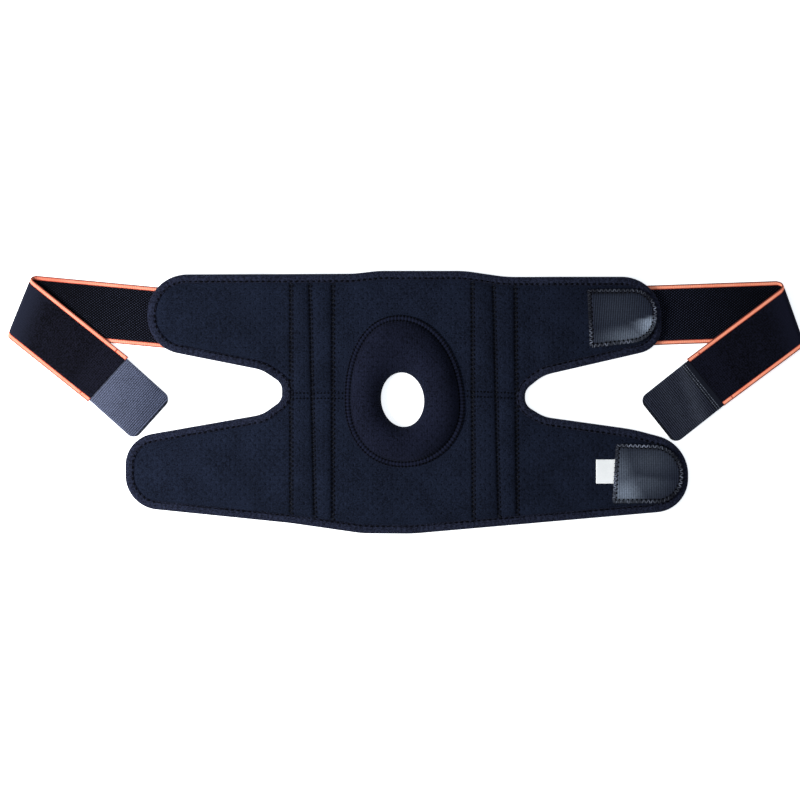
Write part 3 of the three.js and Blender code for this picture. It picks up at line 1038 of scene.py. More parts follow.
class HookField(Fitting):
    """Bent plastic hooks at the points of a carrier mesh."""

    STEM_SIDES, BEND_STEPS = 3, 3
    RISE, REACH, STEM = 0.42, 0.5, 0.15
    TOP = (0.2, 1.5)
    TIP = (1.0, 0.55)

    def __init__(self) -> None:
        """Builds the tree."""
        super().__init__("hook_field", ("Rise", "Reach", "Stem", "Heading"))
        add = self.graph.add
        rise, reach = self.given("Rise"), self.given("Reach")
        top, tip = (
            add("ShaderNodeCombineXYZ", {"X": reach * x, "Z": rise * z})
            for x, z in (self.TOP, self.TIP)
        )
        sockets = {"Resolution": self.BEND_STEPS, "Start": (0, 0, 0), "Middle": top, "End": tip}
        bend = add("GeometryNodeCurveQuadraticBezier", sockets)
        sockets = {0: self.STEM_SIDES, "Radius": self.given("Stem")}
        rod = add("GeometryNodeCurvePrimitiveCircle", sockets)
        sockets = {"Curve": bend, "Profile Curve": rod, "Fill Caps": True}
        hook = add("GeometryNodeCurveToMesh", sockets)
        points = add("GeometryNodeMeshToPoints", {0: self.given("Geometry")})
        turned = self.spin(self.given("Heading") + self.parity() * math.pi)
        sockets = {"Points": points, "Instance": hook, "Rotation": turned}
        self.end(add("GeometryNodeInstanceOnPoints", sockets))

    def plant(
        self, name: str, points: Array, painted_reflection: Array, heading: float, finish: Material
    ) -> Object:
        """Plants a hook at each point.

        Args:
            name: The new object's name.
            points: Feet of the hooks.
            painted_reflection: How much painted reflection each hook gets.
            heading: The way that they bend, in radians.
            finish: Their plastic.

        Returns:
            The hooks as one mesh object, with the marks that a row's top has.
        """
        feet = Shape(points, marks={"row": np.ones(len(points)), "painted_reflection": painted_reflection})
        sizes = {"Rise": self.RISE * MM, "Reach": self.REACH * MM, "Stem": self.STEM * MM}
        return self.make(name, feet.to_carrier(name), sizes | {"Heading": heading, "Finish": finish})


@dataclass(frozen=True)
class Pits:
    """Sizes of a staggered lattice of perforations."""

    pitch: float = 8.6
    radius: float = 0.62
    depth: float = 0.5
    shade: float = 0.62
    start: tuple[float, float] = (1.7, 0.9)


class PitField(Fitting):
    """Perforations on a staggered lattice, pressed into a mesh where its mark allows them."""

    WALL = (0.55, 0.95)

    def __init__(self) -> None:
        """Builds the tree."""
        super().__init__("pit_field", ("Pitch", "Radius", "Depth", "Shade", "Start X", "Start Y"))
        add = self.graph.add
        x, y, _ = self.graph.parts(add("GeometryNodeInputPosition"))
        x, y = x - self.given("Start X"), y - self.given("Start Y")
        half = self.given("Pitch") * 0.5
        away = half.math("MINIMUM", self.nearest(x, y, half), self.nearest(x + half, y + half, half))
        wall = away.step(*(self.given("Radius") * share for share in self.WALL))
        pit = (1 - wall) * self.number("open")
        shade = self.number("shade") + pit * self.given("Shade")
        shaded = self.marked(self.given("Geometry"), "shade", shade)
        drop = add("ShaderNodeCombineXYZ", {"Z": pit * self.given("Depth") * -1.0})
        self.end(add("GeometryNodeSetPosition", {"Geometry": shaded, "Offset": drop}))

    @staticmethod
    def nearest(x: Wire, y: Wire, half: Wire) -> Wire:
        """Distance to the nearest point of a square lattice with this half pitch."""
        x, y = (side.math("WRAP", side, half, half * -1.0) for side in (x, y))
        return x.math("SQRT", x * x + y * y)

    def press(self, name: str, skin: Mesh, finish: Material, pits: Pits) -> Object:
        """Presses pits into a skin.

        Args:
            name: The new object's name.
            skin: A mesh whose mark "open" is 1 where pits may be.
            finish: Its material.
            pits: The pits' sizes.

        Returns:
            The pierced skin as a mesh object.
        """
        labels = ("Pitch", "Radius", "Depth", "Start X", "Start Y")
        values = (pits.pitch, pits.radius, pits.depth, *pits.start)
        sizes = {label: value * MM for label, value in zip(labels, values)}
        return self.make(name, skin, sizes | {"Shade": pits.shade, "Finish": finish})


class Kit:
    """What the sub-assemblies share: the Geometry Nodes trees and the materials, each made once."""

    def __init__(self) -> None:
        """Builds the trees."""
        self.rows = SewnRows()
        self.hooks = HookField()
        self.pits = PitField()
        self.made: dict[str, Material] = {}

    def finish(self, finish: Finish) -> Material:
        """The material of a finish."""
        if finish.name not in self.made:
            self.made[finish.name] = finish.material()
        return self.made[finish.name]


def settle(piece: Object, slot: Slot, nodes: Sequence[str] = ()) -> Object:
    """Lets a piece ride on the part.

    Args:
        piece: The finished object.
        slot: Not used.
        nodes: The CAD nodes that it stands for.

    Returns:
        The same object.
    """
    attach(piece, "root")
    if nodes:
        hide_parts(*nodes)
    LOG.info("%s: %d faces", piece.name, len(piece.data.polygons))
    return piece


# Wrap panel

def corners(*rows: tuple[float, float, float]) -> tuple[Corner, ...]:
    """Corners from rows of x, y and radius."""
    return tuple(Corner(*row) for row in rows)


PANEL_CORNERS = corners(
    (225, 110.4, 35), (88, 110.3, 120), (52, 115.6, 100), (-24, 115.6, 80), (-46, 113.1, 80),
    (-226.8, 112.2, 34.5), (-226.8, 48.3, 33), (-126, 28.3, 30), (-108.7, 16.5, 11), (-108.7, 1.8, 11),
    (-126, -10.7, 30), (-246.3, -31.8, 28), (-246.3, -91.6, 30.5), (-101.6, -106.2, 150), (-38, -115.3, 90),
    (6, -115.6, 120), (248.6, -94.4, 30), (248.6, -36.8, 35), (200, -23.7, 150), (122, -12.8, 30),
    (105.2, -2.5, 11), (105.2, 10.8, 11), (121, 23.6, 30), (225, 47.6, 24),
)
UPPER_PATCH_CORNERS = corners((220.4, 99.6, 21), (159.6, 99.2, 2), (162, 47.8, 2), (220.4, 54.6, 23))
LOWER_PATCH_CORNERS = corners((243.6, -38.3, 26), (184.9, -36.6, 3), (181.8, -88.6, 2), (243.6, -88.4, 23))


@dataclass(frozen=True)
class Seam:
    """A seam from the top edge to the bottom edge, by its x at either end."""

    top: float
    bottom: float

    TOP_Y = 103.0
    BOTTOM_Y = -98.0
    MIDDLE_Y = (TOP_Y + BOTTOM_Y) / 2

    def at(self, y: Array) -> Array:
        """The seam's x at these heights."""
        share = (np.asarray(y, float) - self.BOTTOM_Y) / (self.TOP_Y - self.BOTTOM_Y)
        return self.bottom + (self.top - self.bottom) * share

    def slope(self) -> float:
        """How far it leans to +X for each millimetre upwards."""
        return (self.top - self.bottom) / (self.TOP_Y - self.BOTTOM_Y)


SEAMS = (
    Seam(-100.3, -100.3), Seam(-83.9, -79.5), Seam(-63.8, -63.8),
    Seam(59.0, 60.0), Seam(77.5, 82.3), Seam(96.4, 98.5),
)
CHANNELS = ((0, 1), (1, 2), (3, 4), (4, 5))


@dataclass(frozen=True)
class CrossSeam:
    """A seam across the stay channels, from the ring to the notch: two rows, the upper by its two ends."""

    start: tuple[float, float]
    end: tuple[float, float]
    row_gap: float = 4.6
    press_width: float = 4.5

    STATIONS = 60

    def rows(self) -> list[Array]:
        """Plane points along the two rows."""
        upper = np.linspace(self.start, self.end, self.STATIONS)
        return [upper, upper - (0.0, self.row_gap)]

    def press(self, x: Array, y: Array) -> Array:
        """How strongly it holds the cloth down, from 0 to 1, on its own side of the panel."""
        upper = np.interp(x, (self.start[0], self.end[0]), (self.start[1], self.end[1]))
        return bump(y - upper + self.row_gap / 2, self.press_width) * (np.sign(x) == np.sign(self.start[0]))


CROSS_SEAMS = (CrossSeam((-101.5, 8.1), (-55.5, 8.1)), CrossSeam((54.5, 9.9), (99.0, 7.9)))


@dataclass(frozen=True)
class Egg:
    """A plan that may be longer upwards and a little squared, and whose upper end leans to -X."""

    x: float
    y: float
    half_width: float
    up: float
    down: float
    lean: float
    tilt: float
    square: float

    def at(self, angle: Array, grow: float = 0.0) -> Array:
        """Plane points at these angles, grown outwards.

        Args:
            angle: Angles about the middle.
            grow: How far the plan is grown.

        Returns:
            Plane points.
        """
        sides = (np.cos(angle), np.sin(angle))
        run, rise = (np.sign(side) * np.abs(side) ** (2 / self.square) for side in sides)
        reach = np.where(rise > 0, self.up, self.down) + grow
        x = self.x + (self.half_width + grow) * run - (self.lean * rise + self.tilt) * rise
        return np.stack([x, self.y + reach * rise], axis=-1)

    def share(self, points: Array, grow: float = 0.0) -> Array:
        """How far out of the grown egg's middle each point lies: 1 on its edge.

        Args:
            points: Plane points.
            grow: How far the plan is grown.

        Returns:
            A number for each point.
        """
        rise = points[:, 1] - self.y
        rise = rise / (np.where(rise > 0, self.up, self.down) + grow)
        across = (points[:, 0] - self.x + (self.lean * rise + self.tilt) * rise) / (self.half_width + grow)
        return (np.abs(across) ** self.square + np.abs(rise) ** self.square) ** (1 / self.square)


RING_PLAN = Egg(x=-0.7, y=-1.5, half_width=47.5, up=72.8, down=50.4, lean=3.0, tilt=1.9, square=2.1)
KNEECAP_HOLE = Egg(x=-2.6, y=2.3, half_width=18.9, up=23.9, down=23.9, lean=0.0, tilt=1.0755, square=2.0)


@dataclass
class WrapPanel:
    """The foam and cloth panel: stay channels, pits and the kneecap hole, and outlines of what lies on it."""

    kit: Kit
    covers: Sequence[Outline]
    thick: float = 4.0
    edge_inset: float = 1.7
    edge_low: float = 1.5
    edge_high: float = 3.3
    puff: float = 0.35
    crown: float = 1.5
    crown_power: float = 0.8
    crown_press: float = 0.6
    groove: float = 0.6
    groove_width: float = 1.8
    seam_shade: float = 0.45
    shade_width: float = 2.2
    shade_shift: float = -0.3
    wing_lift: float = 2.0
    half_split: float = 6.2
    ramp: tuple[float, float] = (110.0, 130.0)
    ring_flange: float = 6.0
    needle_offset: float = 1.6
    binding_reach: float = 6.6
    seam_tone: float = 0.022
    pierced: Pits = Pits()
    outline: Outline = field(default_factory=lambda: Outline(PANEL_CORNERS))
    hole: Egg = KNEECAP_HOLE
    egg: Egg = RING_PLAN

    # Depths inside the outline between which each form grows to its full size
    EDGE_RISE = (5.6, 9.5)
    PUFF_RISE = (6.0, 16.0)
    CROWN_RISE = (6.5, 15.0)
    GROOVE_RISE = (5.0, 9.0)
    WAVE_RISE = (7.0, 24.0)
    UNDER_RISE = (6.0, 7.4)

    # Where the waves grow: shares of the ring's plan, places along X either way and along -Y
    RING_RISE = (1.0, 1.2)
    WING_RISE = (108.0, 140.0)
    LOWER_RISE = (20.0, 45.0)

    # Pits: how far they stay from the outline, the ring's plan and the seams, and points about each
    PIT_EDGE, PIT_RING, PIT_SEAM = 10.5, 7.5, 3.2
    PIT_COUNT = 30
    PIT_ROUNDS = ((0.0, 1), (0.5, 6), (1.0, 8))
    PIT_CLEAR, PIT_OPEN = 1.55, 1.2

    # Mesh: its span, rings along the edge, grid, and how far the grid stays from rings and hole
    SPAN_X = (-250.0, 251.0)
    SPAN_Y = (-118.0, 118.0)
    RINGS = (3.2, 4.8, 6.0, 6.9, 8.0, 9.4, 11.2)
    RING_STRIDE = 2
    RIM_STATIONS = 96
    GRID = 2.1
    GRID_CLEAR = 0.7
    HOLE_CLEAR = 1.12
    SEAM_STEPS = (0.0, 0.45, 0.9, 1.45, 2.1, 3.0, 4.2)
    UNDER_RINGS = (5.8, 7.2)
    UNDER_PITCH = 9.0
    UNDER_START = (-245.0, -110.0)
    UNDER_END = (248.0, 112.0)
    UNDER_CLEAR, UNDER_HOLE_CLEAR = 11.0, 1.2

    ROW_SPAN = (-112.0, 116.0)
    ROW_STEP = 0.5
    ROW_RISE = 0.1
    STITCH = Stitch(pitch=2.05, length=4.1, width=1.0, height=0.5, slant=math.radians(57.0))
    NEEDLE = Stitch(pitch=4.1, length=2.2, width=1.8, height=0.2)
    DOT = Stitch(pitch=3.0, length=1.7, width=1.6, height=0.7)

    def lift(self, x: Array, y: Array) -> Array:
        """How far the upper wings lie above the floor, on the straps' sewn ends."""
        return np.where(y > self.half_split, self.wing_lift * smooth(np.abs(x), *self.ramp), 0)

    def top(self, points: Array) -> Array:
        """Height of the panel's upper face.

        Args:
            points: Plane points.

        Returns:
            Heights above the floor.
        """
        x, y = points.T
        depth = self.outline.depth(points)
        ring = smooth(self.egg.share(points, self.ring_flange), *self.RING_RISE)
        z = self.edge_high + (self.thick - self.edge_high) * smooth(depth, *self.EDGE_RISE)
        z = z + self.lift(x, y) + self.puff * smooth(depth, *self.PUFF_RISE) * ring
        held = 1 - self.crown_press * sum(seam.press(x, y) for seam in CROSS_SEAMS)
        for a, b in CHANNELS:
            left, right = SEAMS[a].at(y), SEAMS[b].at(y)
            share = np.clip((x - left) / (right - left), 0, 1)
            arch = np.sin(math.pi * share) ** self.crown_power
            z = z + self.crown * arch * smooth(depth, *self.CROWN_RISE) * held
        for seam in SEAMS:
            z = z - self.groove * bump(x - seam.at(y), self.groove_width) * smooth(depth, *self.GROOVE_RISE)
        return z + self.waves(x, y) * smooth(depth, *self.WAVE_RISE) * ring

    def waves(self, x: Array, y: Array) -> Array:
        """The slow unevenness of the wings and the soft dent across the lower left one.

        Args:
            x: Places along X.
            y: Places along Y.

        Returns:
            Heights to add.
        """
        wing = smooth(np.abs(x), *self.WING_RISE)
        slow = 0.3 * np.sin(x / 23.0 + 0.7) * np.cos(y / 31.0 + 0.4) + 0.2 * np.sin(x / 11.0 + y / 17.0)
        dent = -0.7 * bump(x + 144.0 + 0.12 * (y + 60), 11.0)
        swell = 0.55 * bump(x + 120.0, 13.0)
        return wing * (slow + (dent + swell) * smooth(-y, *self.LOWER_RISE))

    def under(self, points: Array) -> Array:
        """Height of the panel's lower face."""
        edge = 1 - smooth(self.outline.depth(points), *self.UNDER_RISE)
        return self.edge_low * edge + self.lift(*points.T)

    def columns(self) -> Array:
        """Places across, at mid height, that crowd about the seams: x and its slope along y, by column.

        Returns:
            Two numbers for each column.
        """
        offsets = sorted({sign * step for step in self.SEAM_STEPS for sign in (-1, 1)})
        marks = [(self.SPAN_X[0], 0.0)]
        for seam in SEAMS:
            marks += [(float(seam.at(Seam.MIDDLE_Y)) + offset, seam.slope()) for offset in offsets]
        marks.append((self.SPAN_X[1], 0.0))
        made = []
        for (a, slope_a), (b, slope_b) in zip(marks, marks[1:]):
            steps = max(1, round((b - a) / self.GRID))
            share = np.arange(steps) / steps
            made.append(np.stack([a + (b - a) * share, slope_a + (slope_b - slope_a) * share], axis=1))
        return np.concatenate(made)

    def grid(self) -> Array:
        """Plane points inside the binding, on columns that follow the seams.

        Returns:
            Plane points.
        """
        y = np.arange(*self.SPAN_Y, self.GRID)
        x, slope = self.columns().T
        x = x[None, :] + slope[None, :] * (y[:, None] - Seam.MIDDLE_Y)
        points = np.stack([x, np.broadcast_to(y[:, None], x.shape)], axis=-1).reshape(-1, 2)
        points = self.outline.keep(points, self.RINGS[-1] + self.GRID_CLEAR * self.GRID)
        return points[self.hole.share(points) > self.HOLE_CLEAR]

    def pits(self) -> Array:
        """Centres of the perforations: a staggered lattice, left out under covers and in seams.

        Returns:
            Plane points.
        """
        steps = np.arange(-self.PIT_COUNT, self.PIT_COUNT + 1) * self.pierced.pitch
        square = lattice(steps, steps)
        points = np.concatenate([square, square + self.pierced.pitch / 2]) + self.pierced.start
        points = self.outline.keep(points, self.PIT_EDGE)
        points = points[self.egg.share(points, self.PIT_RING) > 1]
        for cover in self.covers:
            points = points[~cover.holds(points)]
        for seam in SEAMS:
            points = points[np.abs(points[:, 0] - seam.at(points[:, 1])) > self.PIT_SEAM]
        return points

    def face(self, points: Array) -> tuple[Array, Array]:
        """Plane points and triangles between the panel's edge and the hole.

        Args:
            points: Points inside. The edge's and the hole's own points come before them.

        Returns:
            The plane points and the triangles.
        """
        edge = self.outline.inset(self.edge_inset)[:: self.RING_STRIDE]
        rim = self.hole.at(np.linspace(0, math.tau, self.RIM_STATIONS, endpoint=False))
        plane, faces = triangles_inside([edge, rim], points)
        return plane, faces[self.hole.share(plane[faces].mean(axis=1)) > 1]

    def skin(self) -> Shape:
        """The closed panel, with points ready for its pits.

        Returns:
            The shape, with marks where seams are in the shade and where pits are open.
        """
        pits, radius, grid = self.pits(), self.pierced.radius, self.grid()
        floors = [
            pits + radius * share * unit(turn)
            for share, count in self.PIT_ROUNDS
            for turn in np.arange(count) * math.tau / count
        ]
        rings = [self.outline.inset(d)[k % 2 :: self.RING_STRIDE] for k, d in enumerate(self.RINGS)]
        clear = distances(grid, pits) > self.PIT_CLEAR * radius
        plane, faces = self.face(np.concatenate([*rings, grid[clear], *floors]))
        below = [self.outline.inset(d)[:: self.RING_STRIDE] for d in self.UNDER_RINGS]
        sides = [np.arange(a, b, self.UNDER_PITCH) for a, b in zip(self.UNDER_START, self.UNDER_END)]
        coarse = self.outline.keep(lattice(*sides), self.UNDER_CLEAR)
        coarse = coarse[self.hole.share(coarse) > self.UNDER_HOLE_CLEAR]
        plane_under, faces_under = self.face(np.concatenate([*below, coarse]))
        top, under = raised(plane, self.top(plane)), raised(plane_under, self.under(plane_under))
        shape = Shape.two_faced(top, faces, under, faces_under)
        x, y = plane.T
        shade = sum(bump(x - seam.at(y) - self.shade_shift, self.shade_width) for seam in SEAMS)
        pierced = distances(plane, pits) < self.PIT_OPEN * radius
        marks = {"shade": self.seam_shade * np.clip(shade, 0, 1), "open": pierced}
        shape.marks = {mark: np.concatenate([values, np.zeros(len(under))]) for mark, values in marks.items()}
        return shape

    def row(self, seam: Seam, offset: float) -> Array:
        """A path along a seam, between the bindings."""
        y = np.arange(*self.ROW_SPAN, self.ROW_STEP)
        return self.outline.keep(np.stack([seam.at(y) + offset, y], axis=1), self.binding_reach)

    def sew(self) -> None:
        """The zigzags along the seams, dark beads as painted shade in the needle holes at their turns, and
        the rows across.
        """
        zigzags = [self.row(seam, 0.0) for seam in SEAMS]
        sides = [(seam, side) for seam in SEAMS for side in (-1, 1)]
        # The two rows of holes start half a pitch apart
        holes = [self.row(seam, side * self.needle_offset)[2 + 2 * side :] for seam, side in sides]
        across = [path for seam in CROSS_SEAMS for path in seam.rows()]
        sewn = (
            ("seam_stitches", zigzags, GREY_THREAD, self.STITCH, self.seam_tone),
            # Dark beads as painted shade in the needle holes
            ("needle_holes", holes, DARK_THREAD, self.NEEDLE, 0.5),
            ("cross_stitches", across, DARK_THREAD, self.DOT, 0.5),
        )
        for name, paths, thread, stitch, tone in sewn:
            paths = [raised(path, self.top(path) + self.ROW_RISE) for path in paths]
            rows = self.kit.rows.sew(f"panel_{name}", paths, self.kit.finish(thread), stitch, tone=tone)
            settle(rows, Slot.PANEL)

    def dress(self) -> None:
        """Builds the panel and its seams."""
        knit = self.kit.finish(PANEL_KNIT)
        skin = self.skin().to_mesh("panel_skin", knit)
        panel = self.kit.pits.press("panel_cloth", skin, knit, self.pierced)
        settle(panel, Slot.PANEL, ["wrap_panel_upper", "wrap_panel_lower"])
        self.sew()


@dataclass
class EdgeBinding:
    """A tape that is folded round the panel's edge and sewn down along its inner edge."""

    kit: Kit
    panel: WrapPanel
    width: float = 7.5
    flat_width: float = 18.8
    stitch_reach: float = 6.5
    stitch_height: float = 4.42
    top_height: float = 3.65
    pucker: float = 0.4
    shade: float = 0.6

    # Reach in from the outline and height, from the upper inner edge round to the start of the lining
    SECTION = (
        (7.45, 3.8), (7.6, 4.1), (7.45, 4.4), (7.0, 4.5), (6.3, 4.36), (5.5, 4.52), (4.0, 4.74), (2.4, 4.66),
        (1.2, 4.3), (0.45, 3.6), (0.05, 2.7), (0.1, 1.8), (0.6, 0.9), (1.4, 0.35), (2.6, 0.22), (5.8, 0.22),
        (6.45, 0.4), (6.5, 0.8), (6.3, 1.15), (1.35, 1.2), (1.35, 3.55), (7.2, 3.62),
    )
    STITCH = Stitch(pitch=4.95, length=3.3, width=1.7, height=0.7)

    def build(self) -> Object:
        """The folded tape.

        Returns:
            The tape's object.
        """
        outline = self.panel.outline
        section = np.array(self.SECTION)
        reach, height = section.T
        place = outline.points[:, None, :] - outline.normals[:, None, :] * reach[None, :, None]
        gather = 1 - ripple(outline.along, self.STITCH.pitch)[:, None]
        is_top = height > self.top_height
        slow = 0.12 * np.sin(outline.along / 17.0) + 0.1 * np.sin(outline.along / 6.3 + 1.0)
        uneven = self.pucker * (gather - 0.5) + slow[:, None]
        z = height[None, :] + uneven * (is_top * smooth(reach, 0.5, 2.5))[None, :]
        z = z + self.panel.lift(place[..., 0], place[..., 1])
        sections = np.concatenate([place, z[..., None]], axis=-1)
        shape = loft(sections, outline.along, lengths_along(section), True, outline.length)
        row = bump(reach - self.stitch_reach, 0.6) + bump(reach - self.width, 0.35)
        shade = self.shade * (row * is_top)[None, :] * (1 - 0.8 * gather)
        shape.marks["shade"] = np.clip(shade, 0, 1).ravel()
        return shape.to_object("binding_tape", self.kit.finish(BINDING_TAPE))

    def dress(self) -> None:
        """Builds the binding and its stitch row."""
        tape = settle(self.build(), Slot.BINDING, ["edge_binding"])
        path = self.panel.outline.inset(self.stitch_reach)
        row = raised(path, self.stitch_height + self.panel.lift(*path.T))
        thread = self.kit.finish(DARK_THREAD)
        stitches = self.kit.rows.sew("binding_stitches", [row], thread, self.STITCH, is_loop=True)
        settle(stitches, Slot.BINDING)
        flat = (self.flat_width * MM, self.panel.outline.length * MM)


@dataclass
class KneecapRing:
    """The cloth-covered pad round the kneecap hole, with a flange that two rows of stitches hold down."""

    kit: Kit
    panel: WrapPanel
    base: float = 4.12
    crown: float = 9.1
    rim: float = 0.9
    stations: int = 720
    steps: int = 40
    flatness: float = 2.0
    fullness: float = 1.3
    pucker: float = 0.2
    rows: tuple[float, float] = (0.7, 4.5)
    stitch_height: float = 0.68
    pierced: Pits = Pits(radius=0.95, depth=0.2, shade=0.75)

    # Growth out of the dome's plan and height over the base
    FLANGE = (
        (0.35, 0.8), (0.7, 0.55), (1.1, 0.7), (1.8, 1.05), (2.6, 1.15), (3.5, 1.0),
        (4.1, 0.7), (4.5, 0.52), (4.9, 0.62), (5.25, 0.55), (5.4, 0.3), (5.35, 0.0),
    )
    STITCH = Stitch(pitch=3.0, length=2.0, width=1.9, height=0.7)
    DENSE_STATIONS = 4001
    PIERCED_REACH = (0.1, 0.92)
    VALLEY_REACH = 0.97

    def angles(self) -> tuple[Array, Array, float]:
        """Evenly spaced stations round the dome.

        Returns:
            Their angles, their lengths along it and the length once round.
        """
        dense = np.linspace(0, math.tau, self.DENSE_STATIONS)
        lengths = lengths_along(self.panel.egg.at(dense, self.rows[0]))
        along = np.arange(self.stations) * lengths[-1] / self.stations
        return np.interp(along, lengths, dense), along, float(lengths[-1])

    def build(self) -> Object:
        """The domed cover.

        Returns:
            The cover's object.
        """
        angles, along, length = self.angles()
        egg = self.panel.egg
        hole, edge = self.panel.hole.at(angles), egg.at(angles)
        count = int(length / self.STITCH.pitch) + 1
        gather = -np.cos(math.tau * count * along / length)
        reach = (1 - np.cos(np.linspace(0, math.pi, self.steps))) / 2
        cloth = self.rim + (1.0 - self.rim) * reach
        rise = (1 - np.abs(2 * reach - 1) ** self.flatness) ** (1 / self.fullness)
        z = self.base + cloth + (self.crown - cloth) * rise
        folds = self.pucker * gather[:, None] * bump(1 - reach, 0.09)[None, :]
        sag = (0.14 * np.sin(3 * angles + 0.6) + 0.1 * np.sin(7 * angles))[:, None] * rise[None, :]
        place = hole[:, None, :] + (edge - hole)[:, None, :] * reach[None, :, None]
        dome = np.concatenate([place, (z[None, :] + folds + sag)[..., None]], axis=-1)
        flange = []
        for grow, height in self.FLANGE:
            pull = self.pucker * gather * (0.3 < grow < 5.2) * (0.5 if 1.5 < grow < 3.8 else 1.0)
            flange.append(raised(egg.at(angles, grow), self.base + height + pull))
        inner, under = raised(hole, self.base), raised(hole + (edge - hole) * 0.5, self.base)
        sections = np.concatenate([inner[:, None], dome, np.stack(flange, axis=1), under[:, None]], axis=1)
        shape = loft(sections, along, np.arange(sections.shape[1], dtype=float), True, length)
        shape.marks = self.marks(reach, gather)
        knit = self.kit.finish(RING_KNIT)
        return self.kit.pits.press("ring_cover", shape.to_mesh("ring_skin", knit), knit, self.pierced)

    def marks(self, reach: Array, gather: Array) -> dict[str, Array]:
        """What the cover is marked with.

        Args:
            reach: Places of the dome's points, from 0 at the hole to 1 at its foot.
            gather: How the stitches gather the cloth, by station.

        Returns:
            Where the cloth is in the shade, where the flange's raised folds get a painted highlight and where
            pits are open.
        """
        grow = np.array(self.FLANGE)[:, 0]
        dome, flange, end = np.zeros(len(reach)), np.zeros(len(grow)), np.zeros(1)
        valleys = 0.12 + 0.5 * sum(bump(grow - row, 0.55) for row in self.rows)
        shade = np.concatenate([end, 0.2 * (reach > self.VALLEY_REACH), valleys, end])
        # Painted highlight on the raised cloth between the flange's stitches
        pale = np.concatenate([end, dome, bump(grow - 2.6, 2.2), end])
        low, high = self.PIERCED_REACH
        pierced = np.concatenate([end, (low < reach) & (reach < high), flange, end])
        return {
            "shade": np.tile(np.clip(shade, 0, 1), self.stations),
            "pale": (np.clip(gather, 0, 1)[:, None] * pale[None, :]).ravel(),
            "open": np.tile(pierced, self.stations),
        }

    def dress(self) -> None:
        """Builds the ring and its two rows of stitches."""
        ring = settle(self.build(), Slot.RING, ["kneecap_ring"])
        angles, _, _ = self.angles()
        height = self.base + self.stitch_height
        paths = [raised(self.panel.egg.at(angles, grow), height) for grow in self.rows]
        thread = self.kit.finish(DARK_THREAD)
        stitches = self.kit.rows.sew("ring_stitches", paths, thread, self.STITCH, is_loop=True)
        settle(stitches, Slot.RING)


# Hook patches and label

@dataclass(frozen=True)
class Wave:
    """A slow rise of a sheet along a heading in degrees, over a width about a place."""

    x: float
    y: float
    heading: float
    width: float
    rise: float


@dataclass(frozen=True)
class Gleam:
    """A place of painted reflection or glint, cut off above by a bend line at a height and slope about its
    middle.
    """

    x: float
    y: float
    half_width: float
    half_height: float
    strength: float
    edge: float = 99.0
    slope: float = 0.0
    soft: float = 4.0


@dataclass(frozen=True)
class PatchCut:
    """What sets one hook patch apart: outline, height, lean of its ribs in degrees, waves, painted
    reflections and glints.
    """

    name: str
    node: str
    outline: Outline
    base: float
    lean: float
    waves: tuple[Wave, ...]
    painted_reflection: tuple[Gleam, ...]
    # Places where the zigzag thread gets a painted glint
    thread: tuple[Gleam, ...]
    contrast: float = 1.0


UPPER_PATCH = PatchCut(
    name="upper_patch",
    node="hook_patch_upper",
    outline=Outline(UPPER_PATCH_CORNERS),
    base=6.9,
    lean=-4.0,
    waves=(Wave(205.0, 62.0, -20.0, 36.0, 1.6), Wave(190.0, 74.0, -85.0, 7.0, -0.45)),
    painted_reflection=(
        Gleam(217.0, 68.0, 13.0, 12.0, 0.95, 8.5, 0.2, 3.0),
        Gleam(198.0, 57.0, 24.0, 15.0, 0.34, 18.0, 0.1, 16.0),
        Gleam(186.0, 80.0, 26.0, 22.0, 0.06),
    ),
    thread=(
        Gleam(220.0, 78.0, 4.0, 9.0, 0.66),
        Gleam(190.0, 50.0, 28.0, 6.0, 0.4),
        Gleam(163.0, 54.0, 6.0, 9.0, 0.55),
        Gleam(185.0, 99.0, 30.0, 5.0, 0.12),
    ),
)
LOWER_PATCH = PatchCut(
    name="lower_patch",
    node="hook_patch_lower",
    outline=Outline(LOWER_PATCH_CORNERS),
    base=4.9,
    lean=1.0,
    waves=(Wave(197.0, -74.0, 25.0, 24.0, 1.1), Wave(212.0, -60.0, 80.0, 8.0, 0.35)),
    painted_reflection=(
        Gleam(192.0, -80.0, 14.0, 14.0, 0.58),
        Gleam(190.0, -62.0, 10.0, 18.0, 0.26),
        Gleam(208.0, -68.0, 22.0, 16.0, 0.18, 7.0, -0.1, 7.0),
        Gleam(212.0, -52.0, 24.0, 14.0, 0.13),
    ),
    thread=(
        Gleam(206.0, -37.0, 20.0, 5.0, 0.75),
        Gleam(184.0, -72.0, 5.0, 18.0, 0.5),
        Gleam(241.0, -67.0, 4.0, 8.0, 0.55),
        Gleam(205.0, -88.0, 24.0, 4.0, 0.25),
    ),
    contrast=0.35,
)


def brightness(points: Array, gleams: Sequence[Gleam]) -> Array:
    """How much painted reflection or painted glint tape or thread gets at these plane points, from 0 to 1.

    Args:
        points: Plane points.
        gleams: The places of painted reflection or glint.

    Returns:
        A number for each point.
    """
    bright = np.zeros(len(points))
    for gleam in gleams:
        across, along = (points - (gleam.x, gleam.y)).T
        spread = np.hypot(across / gleam.half_width, along / gleam.half_height)
        cut = smooth(gleam.edge + gleam.slope * across - along, 0.0, gleam.soft)
        bright = np.maximum(bright, gleam.strength * bump(spread, 1.0) * cut)
    return bright


